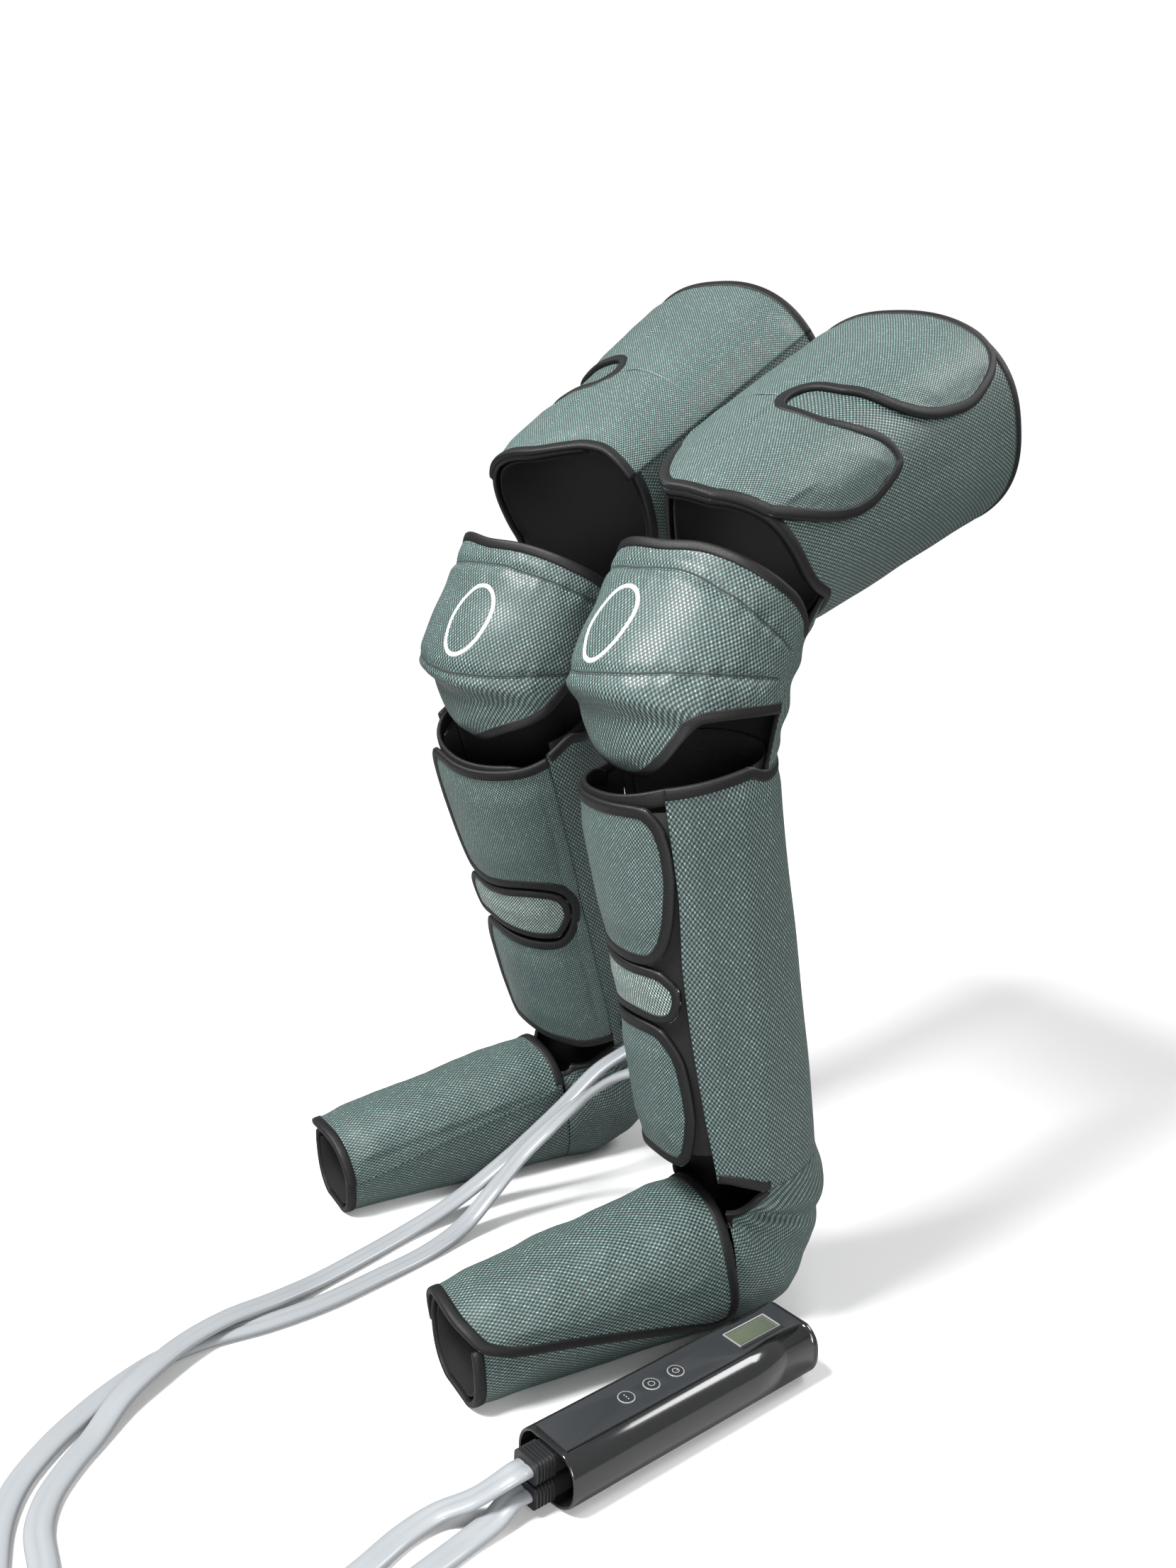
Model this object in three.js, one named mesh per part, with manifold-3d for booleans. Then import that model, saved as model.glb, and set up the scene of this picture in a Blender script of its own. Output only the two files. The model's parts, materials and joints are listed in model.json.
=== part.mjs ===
// A pair of full-leg air compression wraps with the handheld pump that inflates them.
// Millimetres, +Z up, the floor at zero, and the wearer facing about -Y.

import * as THREE from 'three';
import { mergeVertices } from 'three/addons/utils/BufferGeometryUtils.js';
import Module from 'manifold-3d';

const wasm = await Module();
wasm.setup();

const degree = Math.PI / 180;
const overrun = 2;
const seatGap = 0.3;
const weldDistance = 0.0001;

// Fabric layers, from the padded outer mesh inwards
const fabric = 3.5;
const bladderThickness = 2.4;
const liningThickness = 1.6;
const stripThickness = 1.8;
const bladderOuter = -seatGap;
const bladderInner = bladderOuter - bladderThickness;
const liningOuter = bladderInner - seatGap;
const liningInner = liningOuter - liningThickness;
const overFlapInner = fabric + seatGap;
const overFlapOuter = overFlapInner + fabric;
const sheetStep = 15;
const rowGapShare = 0.02;
const angleSlack = 0.002;
const bendStep = 15;

// How square each sleeve's rings are: two is an ellipse, and more is squarer
const calfPower = 2.2;
const thighPower = 2.4;
const footPower = 2.6;

// Foot
const footLength = 299;
const footRearLength = 60;
const footTopToe = 78;
const footTopToeReach = 305;
const footTopRear = 120;
const footTopRearReach = 75;
const soleFlat = 2;
const footHalfWidthToe = 41;
const footHalfWidthRear = 45;

// Calf, with rings that lie square to the shin
const ankleHeight = 145;
const calfLength = 342.7;
const calfBottomHalfWidth = 60.2;
const calfBottomHalfDepth = 65.3;
const calfTopHalfWidth = 72;
const calfTopHalfDepth = 69;

// Heel elbow
const heelHalfWidth = 44;

// Knee
const calfToKnee = 127.5;
const kneeToThigh = 117.8;
const kneeHalfWidth = 73.6;

// Thigh, with rings that lie square to the thigh
const thighLength = 285.6;
const thighLowerHalfWidth = 76.8;
const thighLowerHalfDepth = 73.8;
const thighUpperHalfWidth = 106.3;
const thighUpperInnerHalfWidth = 94;
const thighUpperHalfDepth = 94.2;

// How each leg stands. Angles are in degrees, and positive tilts and turns lean to the outer side.
// The hem share says how far the thigh sleeve's front hangs towards the knee.
const legPoses = {
  left: {
    side: 1,
    heelX: 170,
    heelY: -10,
    footTurn: -9.6,
    ankleReach: 47.2,
    shinLean: 12.03,
    shinTilt: -0.73,
    thighRise: 19.2,
    thighTurn: 22.5,
    hemShare: 1,
  },
  right: {
    side: -1,
    heelX: -132,
    heelY: 53,
    footTurn: -9.2,
    ankleReach: 21.6,
    shinLean: 19.8,
    shinTilt: -8.3,
    thighRise: 28.9,
    thighTurn: -16.5,
    hemShare: 0.3,
  },
};

// Handset
const handsetX = 253;
const handsetY = -316;
const handsetTurn = 1.2;
const handsetLength = 250;
const handsetHalfWidth = 31.5;
const handsetHeight = 48;
const handsetWall = 2.5;
const handsetTopFlat = 45.5;
const handsetPower = 2.5;
const handsetCapLength = 7;
const handsetCapRound = 2;
const panelThickness = 1.6;
const panelHalfWidth = 17;
const panelWaistHalfWidth = 14.5;
const panelEndMargin = 4;
const buttonRadius = 6.8;
const buttonProud = 0.4;
const buttonTravel = 0.8;
const buttonFirst = 73.5;
const buttonPitch = 24.5;
const buttonLip = 1.2;
const windowLength = 43;
const windowWidth = 17.4;
const windowCentre = 204;
const ledgeWidth = 2.2;
const ledgeHeight = 2.4;
const boardThickness = 1.6;
const boardTop = 38.6;
const boardStart = 46;
const boardEnd = 238;
const displayMargin = 2;
const socketStart = 22;
const socketDepth = 20;
const nozzleRadius = 3;
const nozzleLength = 12;
const nozzleBore = 1.6;
const inletRadius = 4.2;
const inletPinRadius = 1.2;
const inletWall = 1;
const inletX = 21;
const inletZ = 24;
const inletLength = 10;
const pumpRadius = 13;
const pumpLength = 52;
const pumpHeadRadius = 14;
const pumpHeadLength = 26;
const pumpStart = 150;
const valveLength = 34;
const valveWidth = 30;
const valveHeight = 22;
const valveStart = 60;

// Plugs
const plugHalfWidth = 13;
const plugHalfHeight = 8.8;
const plugOutside = 18;
const plugInside = 18;
const plugRibs = 6;
const plugRibDepth = 1.2;
const plugRound = 5;
const plugCornerSteps = 3;
const upperPlugZ = 34.2;
const lowerPlugZ = 14.4;

// Hoses
const hoseWidth = 19;
const hoseThickness = 8;
const hosePower = 2.6;
const hoseSides = 10;
const hoseSteps = 40;
const portRadius = 14;
const portThickness = 6;
const portAngle = -105;
const portShare = 0.06;
const hoseLead = 22;

const black = { color: 0x0b0c0d, roughness: 0.8, metalness: 0 };
const steel = { color: 0x8f9498, roughness: 0.35, metalness: 0.9 };
const mesh = { color: 0x6c8684, roughness: 0.75, metalness: 0.05 };
const paleMesh = { color: 0x93a4a0, roughness: 0.8, metalness: 0.05 };
const gloss = { color: 0x17191a, roughness: 0.12, metalness: 0.1 };
const matte = { color: 0x2a2c2e, roughness: 0.5, metalness: 0 };
const hoseGrey = { color: 0x9ca4ab, roughness: 0.45, metalness: 0 };

const model = new THREE.Group();
const cordNames = [];

function addPiece(parent, name, geometry, finish) {
  const piece = new THREE.Mesh(geometry, new THREE.MeshStandardMaterial(finish));
  piece.name = name;
  parent.add(piece);
  return piece;
}

// Superellipse point at an angle from +Y towards +X, for half sizes of one
function roundedRing(angle, power) {
  const c = Math.cos(angle);
  const s = Math.sin(angle);
  const reach = (Math.abs(c) ** power + Math.abs(s) ** power) ** (-1 / power);
  return { across: s * reach, along: c * reach };
}

function mix(a, b, share) {
  return a + (b - a) * share;
}

// Straight-line reading of a table of [place, value] rows
function readTable(rows, place) {
  if (place <= rows[0][0]) return rows[0][1];
  for (let i = 1; i < rows.length; i += 1) {
    if (place <= rows[i][0]) {
      const share = (place - rows[i - 1][0]) / (rows[i][0] - rows[i - 1][0]);
      return mix(rows[i - 1][1], rows[i][1], share);
    }
  }
  return rows[rows.length - 1][1];
}

// Signed volume, to turn a mesh whose faces point inwards
function signedVolume(points, triangles) {
  let volume = 0;
  for (const [a, b, c] of triangles) {
    volume += points[a].dot(new THREE.Vector3().crossVectors(points[b], points[c]));
  }
  return volume;
}

function solidFrom(points, triangles) {
  const turned = signedVolume(points, triangles) < 0;
  const index = triangles.flatMap(([a, b, c]) => (turned ? [a, c, b] : [a, b, c]));
  const geometry = new THREE.BufferGeometry();
  geometry.setAttribute('position', new THREE.Float32BufferAttribute(points.flatMap((p) => p.toArray()), 3));
  geometry.setIndex(index);
  geometry.computeVertexNormals();
  return geometry;
}

function toSolid(geometry) {
  const bare = geometry.clone();
  for (const extra of Object.keys(bare.attributes)) {
    if (extra !== 'position') bare.deleteAttribute(extra);
  }
  const merged = mergeVertices(bare, weldDistance);
  return new wasm.Manifold(new wasm.Mesh({
    numProp: 3,
    vertProperties: new Float32Array(merged.attributes.position.array),
    triVerts: new Uint32Array(merged.index.array),
  }));
}

function fromSolid(solid) {
  const result = solid.getMesh();
  const geometry = new THREE.BufferGeometry();
  geometry.setAttribute('position', new THREE.BufferAttribute(new Float32Array(result.vertProperties), 3));
  geometry.setIndex(Array.from(result.triVerts));
  geometry.computeVertexNormals();
  return geometry;
}

function cut(geometry, ...tools) {
  return fromSolid(tools.reduce((rest, tool) => rest.subtract(toSolid(tool)), toSolid(geometry)));
}

function join(geometry, ...others) {
  return fromSolid(others.reduce((sum, other) => sum.add(toSolid(other)), toSolid(geometry)));
}

function box(sizeX, sizeY, sizeZ, x, y, z) {
  return new THREE.BoxGeometry(sizeX, sizeY, sizeZ).translate(x, y, z);
}

// A cylinder along Y or Z that starts at a place and runs in the positive direction
function cylinderY(radius, length, x, y, z, sides = 20) {
  return new THREE.CylinderGeometry(radius, radius, length, sides).translate(x, y + length / 2, z);
}

function cylinderZ(radius, length, x, y, z, sides = 20) {
  return new THREE.CylinderGeometry(radius, radius, length, sides)
    .rotateX(Math.PI / 2)
    .translate(x, y, z + length / 2);
}

// A sheet of even thickness on a curved surface. Columns are angles in degrees. Each lane runs
// between two angles, with its low and high edge given at each angle as shares of the length.
function sheetGeometry({ columns, lanes, place, inner, outer }) {
  const points = [];
  const known = new Map();
  const quads = [];
  const key = (angle, share) => `${Math.round(angle * 1000)}:${Math.round(share * 1e6)}`;
  const corner = (angle, share) => {
    const name = key(angle, share);
    if (!known.has(name)) {
      known.set(name, points.length / 2);
      points.push(place(angle * degree, share, outer), place(angle * degree, share, inner));
    }
    return known.get(name);
  };
  for (const lane of lanes) {
    const inside = lane.shares ?? [];
    const rows = inside.length + 1;
    const at = (angle, step) => {
      const [low, high] = [lane.low(angle), lane.high(angle)];
      if (step === 0) return low;
      if (step === rows) return high;
      const atLeast = Math.max(inside[step - 1], low + rowGapShare * step);
      return Math.min(atLeast, high - rowGapShare * (rows - step));
    };
    for (let i = 0; i + 1 < columns.length; i += 1) {
      const [near, far] = [columns[i], columns[i + 1]];
      if (near < lane.from - angleSlack || far > lane.to + angleSlack) continue;
      for (let row = 0; row < rows; row += 1) {
        quads.push([
          corner(near, at(near, row)),
          corner(far, at(far, row)),
          corner(far, at(far, row + 1)),
          corner(near, at(near, row + 1)),
        ]);
      }
    }
  }
  const edges = new Map();
  const triangles = [];
  for (const quad of quads) {
    const [a, b, c, d] = quad;
    triangles.push([2 * a, 2 * b, 2 * c], [2 * a, 2 * c, 2 * d]);
    triangles.push([2 * a + 1, 2 * c + 1, 2 * b + 1], [2 * a + 1, 2 * d + 1, 2 * c + 1]);
    quad.forEach((from, i) => {
      const to = quad[(i + 1) % quad.length];
      const back = `${to}-${from}`;
      if (edges.has(back)) edges.delete(back);
      else edges.set(`${from}-${to}`, [from, to]);
    });
  }
  for (const [from, to] of edges.values()) {
    triangles.push([2 * from, 2 * from + 1, 2 * to + 1], [2 * from, 2 * to + 1, 2 * to]);
  }
  return solidFrom(points, triangles);
}

// Angles from one to another in even steps of the shared grid, with extra ones added
function columnsBetween(from, to, extra = [], step = sheetStep) {
  const list = [from, to, ...extra];
  for (let angle = Math.ceil(from / step) * step; angle < to; angle += step) list.push(angle);
  return [...new Set(list.map((a) => Math.round(a * 1000) / 1000))]
    .filter((a) => a >= from && a <= to)
    .sort((a, b) => a - b);
}

// Shares from one to another on the grid that all layers of a sleeve have in common
function sharesBetween(low, high, step) {
  const list = [];
  for (let i = 1; i * step < high; i += 1) {
    if (i * step > low) list.push(i * step);
  }
  return list;
}

// The surfaces of one leg, in the frame of its foot: outer side +X, toes -Y, floor at zero
function legSurfaces(pose) {
  const lean = pose.shinLean * degree;
  const tilt = pose.shinTilt * degree;
  const shinTurn = new THREE.Quaternion().setFromEuler(new THREE.Euler(lean, tilt, 0, 'YXZ'));
  const shinUp = new THREE.Vector3(0, 0, 1).applyQuaternion(shinTurn);
  const shinFront = new THREE.Vector3(0, -1, 0).applyQuaternion(shinTurn);
  const shinAcross = new THREE.Vector3(1, 0, 0).applyQuaternion(shinTurn);
  const ankle = new THREE.Vector3(0, -pose.ankleReach, ankleHeight);
  const calfEnd = ankle.clone().addScaledVector(shinUp, calfLength);
  const knee = ankle.clone().addScaledVector(shinUp, calfLength + calfToKnee);

  const thighTurn = new THREE.Quaternion()
    .setFromAxisAngle(new THREE.Vector3(0, 0, 1), pose.thighTurn * degree)
    .multiply(new THREE.Quaternion().setFromAxisAngle(
      new THREE.Vector3(1, 0, 0), pose.thighRise * degree));
  const thighOut = new THREE.Vector3(0, 1, 0).applyQuaternion(thighTurn);
  const thighAcross = new THREE.Vector3(1, 0, 0).applyQuaternion(thighTurn);
  const thighFront = new THREE.Vector3(0, 0, 1).applyQuaternion(thighTurn);
  const thighLower = knee.clone().addScaledVector(thighOut, kneeToThigh);

  const calf = (angle, share, offset) => {
    const ring = roundedRing(angle, calfPower);
    return ankle.clone()
      .addScaledVector(shinUp, calfLength * share)
      .addScaledVector(shinAcross, ring.across * (mix(calfBottomHalfWidth, calfTopHalfWidth, share) + offset))
      .addScaledVector(shinFront, ring.along * (mix(calfBottomHalfDepth, calfTopHalfDepth, share) + offset));
  };

  const thigh = (angle, share, offset) => {
    const ring = roundedRing(angle, thighPower);
    const upperHalfWidth = ring.across > 0 ? thighUpperHalfWidth : thighUpperInnerHalfWidth;
    const halfWidth = mix(thighLowerHalfWidth, upperHalfWidth, share) + offset;
    const halfDepth = mix(thighLowerHalfDepth, thighUpperHalfDepth, share) + offset;
    return thighLower.clone()
      .addScaledVector(thighOut, thighLength * share)
      .addScaledVector(thighAcross, ring.across * halfWidth)
      .addScaledVector(thighFront, ring.along * halfDepth);
  };

  const soleLevel = fabric - soleFlat;
  const floorLimited = (point, offset) => {
    point.z = Math.max(point.z, fabric - offset);
    return point;
  };

  const notch = ankle.clone().addScaledVector(shinFront, calfBottomHalfDepth);
  const footTopEnd = new THREE.Vector3(0, -footTopRearReach, footTopRear);
  const footBottomRear = new THREE.Vector3(0, -footRearLength, soleLevel);
  const foot = (angle, share, offset) => {
    const top = footTopEnd.clone().lerp(new THREE.Vector3(0, -footTopToeReach, footTopToe - fabric), share);
    const bottom = footBottomRear.clone().lerp(new THREE.Vector3(0, -footLength, soleLevel), share);
    const middle = top.clone().lerp(bottom, 0.5);
    const rise = top.clone().sub(middle);
    const ring = roundedRing(angle, footPower);
    const point = middle
      .addScaledVector(rise.clone().normalize(), ring.along * (rise.length() + offset));
    point.x = ring.across * (mix(footHalfWidthRear, footHalfWidthToe, share) + offset - fabric);
    return floorLimited(point, offset);
  };

  // Heel: rings fan about the front of the ankle, from the calf's lower ring to the foot's rear one
  const heelReachShares = [
    [0, 1], [0.15, 1.015], [0.3, 1.02], [0.4, 1.02], [0.5, 1.04], [0.58, 1.07], [0.66, 1.065],
    [0.8, 1], [0.9, 0.95], [1, 0.915],
  ];
  const heelStart = shinFront.clone().negate();
  const heelEnd = footBottomRear.clone().sub(footTopEnd).normalize();
  const heelSweep = heelStart.angleTo(heelEnd);
  const heelEndReach = footBottomRear.distanceTo(footTopEnd);
  const heel = (angle, share, offset) => {
    const near = notch.clone().lerp(footTopEnd, share);
    const away = heelStart.clone().multiplyScalar(Math.sin((1 - share) * heelSweep))
      .addScaledVector(heelEnd, Math.sin(share * heelSweep)).normalize();
    const across = shinAcross.clone().lerp(new THREE.Vector3(1, 0, 0), share).normalize();
    const startReach = 2 * calfBottomHalfDepth;
    const endScale = heelEndReach / (startReach * heelReachShares[heelReachShares.length - 1][1]);
    const reach = startReach * readTable(heelReachShares, share) * mix(1, endScale, share);
    const half = reach / 2;
    const width = share < 0.5
      ? mix(calfBottomHalfWidth, heelHalfWidth, share * 2)
      : mix(heelHalfWidth, footHalfWidthRear - fabric, share * 2 - 1);
    const ring = roundedRing(angle, mix(calfPower, footPower, share));
    const point = near.addScaledVector(away, half + ring.along * (half + offset))
      .addScaledVector(across, ring.across * (width + offset));
    return floorLimited(point, offset);
  };

  // Knee: rings turn from the calf's upper ring to the thigh's lower one about the back of the knee
  const kneeReachShares = [
    [0, 0.734], [0.08, 0.866], [0.2, 0.943], [0.264, 1.07], [0.4, 1.015],
    [0.527, 0.952], [0.6, 0.945], [0.8, 1], [1, 1.07],
  ];
  const kneeSweep = shinFront.angleTo(thighFront);
  const calfBack = calfEnd.clone().addScaledVector(shinFront, -calfTopHalfDepth);
  const thighBack = thighLower.clone().addScaledVector(thighFront, -thighLowerHalfDepth);
  const kneeSurface = (angle, share, offset) => {
    const near = calfBack.clone().lerp(thighBack, share);
    const away = shinFront.clone().multiplyScalar(Math.sin((1 - share) * kneeSweep))
      .addScaledVector(thighFront, Math.sin(share * kneeSweep)).normalize();
    const across = shinAcross.clone().lerp(thighAcross, share).normalize();
    const reach = 2 * calfTopHalfDepth * readTable(kneeReachShares, share);
    const ring = roundedRing(angle, mix(calfPower, thighPower, share));
    const backHalf = mix(calfTopHalfDepth, thighLowerHalfDepth, share);
    const frontHalf = ring.along > 0 ? reach - backHalf : backHalf;
    const width = mix(calfTopHalfWidth, thighLowerHalfWidth, share);
    const sideWidth = mix(width, kneeHalfWidth, Math.sin(Math.PI * share));
    return near.addScaledVector(away, backHalf + ring.along * (frontHalf + offset))
      .addScaledVector(across, ring.across * (sideWidth + offset));
  };

  return { calf, thigh, foot, heel, kneeSurface, knee, thighAcross };
}

// Shares that leave a seam's clearance where two panels meet
const footSeamShare = 2 * seatGap / (footLength - footRearLength);
const calfSeamShare = seatGap / calfLength;
const thighSeamShare = seatGap / thighLength;
const kneeSeamAngle = seatGap / kneeHalfWidth / degree;

// Edges of each panel and tab: shares of the length at angles in degrees from the front
const calfRoot = -84;
const calfRootGap = 0.6;
const calfBodyEdge = 50.2;
const calfSlitEnd = -77;
const calfFlapEnd = 49.4;
const calfLowerEnd = 40.6;
const strapStart = -73;
const strapEnd = 42.6;
const calfTopShare = 1.025;
const calfSlitShare = 0.525;
const calfWrapTopShares = [
  [105, calfTopShare], [120, 1 - calfSeamShare], [240, 1 - calfSeamShare], [255, calfTopShare],
];
const calfWrapLowShares = [[54, 0.105], [68, 0.082], [76, 0.055], [79, calfSeamShare]];
const calfFlapTopShares = [
  [calfRoot, 0.97], [-50, 0.985], [25, 0.989], [37, 0.985], [42, 0.968], [47, 0.935], [calfFlapEnd, 0.88],
];
const calfUpperLowShares = [
  [calfSlitEnd, calfSlitShare], [-73, 0.57], [-62, 0.6], [-43, 0.617], [0, 0.608], [25, 0.612], [33, 0.628],
  [39, 0.66], [44, 0.71], [47, 0.76], [calfFlapEnd, 0.82],
];
const calfLowerHighShares = [
  [calfSlitEnd, calfSlitShare], [-73, 0.47], [-61, 0.425], [-32, 0.44], [0, 0.456], [15, 0.458], [25, 0.45],
  [33, 0.416], [39, 0.364], [calfLowerEnd, 0.29],
];
const calfLowerLowShares = [
  [calfRoot, 0.01], [-60, 0.02], [-40, 0.06], [0, 0.093], [24, 0.088], [31, 0.106], [36, 0.147],
  [calfLowerEnd, 0.22],
];
const strapLowShares = [
  [strapStart, 0.495], [-27, 0.474], [11, 0.473], [26, 0.468], [34, 0.474], [39, 0.49], [strapEnd, 0.524],
];
const strapHighShares = [
  [strapStart, 0.555], [-27, 0.575], [0, 0.598], [20, 0.602], [30, 0.598], [38, 0.578], [strapEnd, 0.555],
];

const thighRoot = -60;
const thighRootLap = 2;
const thighBodyEdge = -30;
const thighSlitEnd = 3.4;
const thighSlitShare = 0.303;
const thighUpperEnd = 66.5;
const thighLowerEnd = 82;
const thighRowShares = [0.12, 0.5, 0.92];
const thighHemShares = [
  [-30, 0.055], [2, 0.045], [105, 0.04], [120, thighSeamShare], [240, thighSeamShare], [255, 0.055],
  [300, 0.085],
];
const thighDipShares = [
  [-30, 0], [-12, -0.04], [2, -0.15], [12, -0.27], [18, -0.335], [28, -0.33], [37, -0.3], [47, -0.265],
  [56, -0.235], [67, -0.21], [82, -0.18], [105, -0.125], [120, 0],
];
const thighFlapTopShares = [
  [thighRoot, 0.985], [39, 0.985], [48, 0.975], [54, 0.955], [60, 0.899], [64, 0.829], [thighUpperEnd, 0.77],
];
const thighUpperLowShares = [
  [thighSlitEnd, thighSlitShare], [6, 0.35], [11, 0.376], [23, 0.385], [30, 0.408], [43, 0.438],
  [51.5, 0.479], [59, 0.544], [64, 0.631], [thighUpperEnd, 0.72],
];
const thighLowerHighShares = [
  [thighSlitEnd, thighSlitShare], [6, 0.255], [10, 0.235], [27, 0.223], [41, 0.271], [50.5, 0.323],
  [59, 0.357], [67, 0.369], [71, 0.365], [78, 0.28], [thighLowerEnd, 0.2],
];
const thighLowerLowShares = [[56, -0.19], [66, -0.098], [74, -0.012], [79, 0.059], [thighLowerEnd, 0.13]];

const footRoot = -90;
const footFlapEnd = 128;
const footEndShare = 0.985;
const footWrapRearShares = [[65, 0.008], [90, footSeamShare], [270, footSeamShare], [290, 0.01]];
const footFlapFrontShares = [
  [footRoot, 0.985], [20, 1.02], [60, 0.97], [78, 0.87], [92, 0.67], [108, 0.42], [122, 0.2],
  [footFlapEnd, 0.12],
];
const footFlapRearShares = [
  [footRoot, 0.93], [-75, 0.58], [-60, 0.01], [-15, 0.02], [60, 0.02], [110, 0.004], [122, 0.02],
  [footFlapEnd, 0.06],
];

const kneeCupEdge = 120;
const kneeHemShares = [
  [-kneeCupEdge, 0.3], [-98, 0.29], [-90, 0.22], [-80, 0.165], [-67, 0.135], [-49, 0.107], [-25, 0.055],
  [0, 0.015], [20, 0.035], [32, 0.064], [42, 0.104], [49, 0.149], [56, 0.193], [63, 0.224], [74, 0.238],
  [88, 0.257],
  [kneeCupEdge, 0.3],
];
const kneeRowShares = [0.08, 0.14, 0.2, 0.264, 0.33, 0.4, 0.46, 0.527, 0.6];
const kneeTopShares = [
  [-kneeCupEdge, 0.8], [-90, 0.786], [-60, 0.765], [-30, 0.73], [0, 0.69], [24, 0.704], [52, 0.719],
  [79, 0.748], [95, 0.786], [112, 0.82], [kneeCupEdge, 0.83],
];
const heelEdge = 120;
const heelRowShare = 0.125;
const backRowShare = 0.2;
const liningShare = 0.01;
const middleShare = 0.5;

// Pieces with straight edges, from one angle to another and from one share to another
const footWrapStart = 62;
const footWrapEnd = 315;
const spans = {
  footBladder: { from: 75, to: 270, lowShare: 0.1, highShare: 0.92 },
  footLining: { from: 65, to: 312, lowShare: 0.04, highShare: footEndShare - liningShare },
  calfBladder: { from: 75, to: 255, lowShare: 0.08, highShare: 0.92 },
  calfLining: { from: 60, to: 270, lowShare: 0.1, highShare: calfTopShare - liningShare },
  calfLoopStrip: { from: -15, to: 60, lowShare: 0.12, highShare: 0.97 },
  kneePad: { from: -45, to: 45 },
  thighBladder: { from: 2, to: 285 },
};
const heelOpeningShares = [[100, 0], [110, 0.1], [120, 0.2]];

const constant = (value) => () => value;
const fromTable = (rows) => (angle) => readTable(rows, angle);

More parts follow.
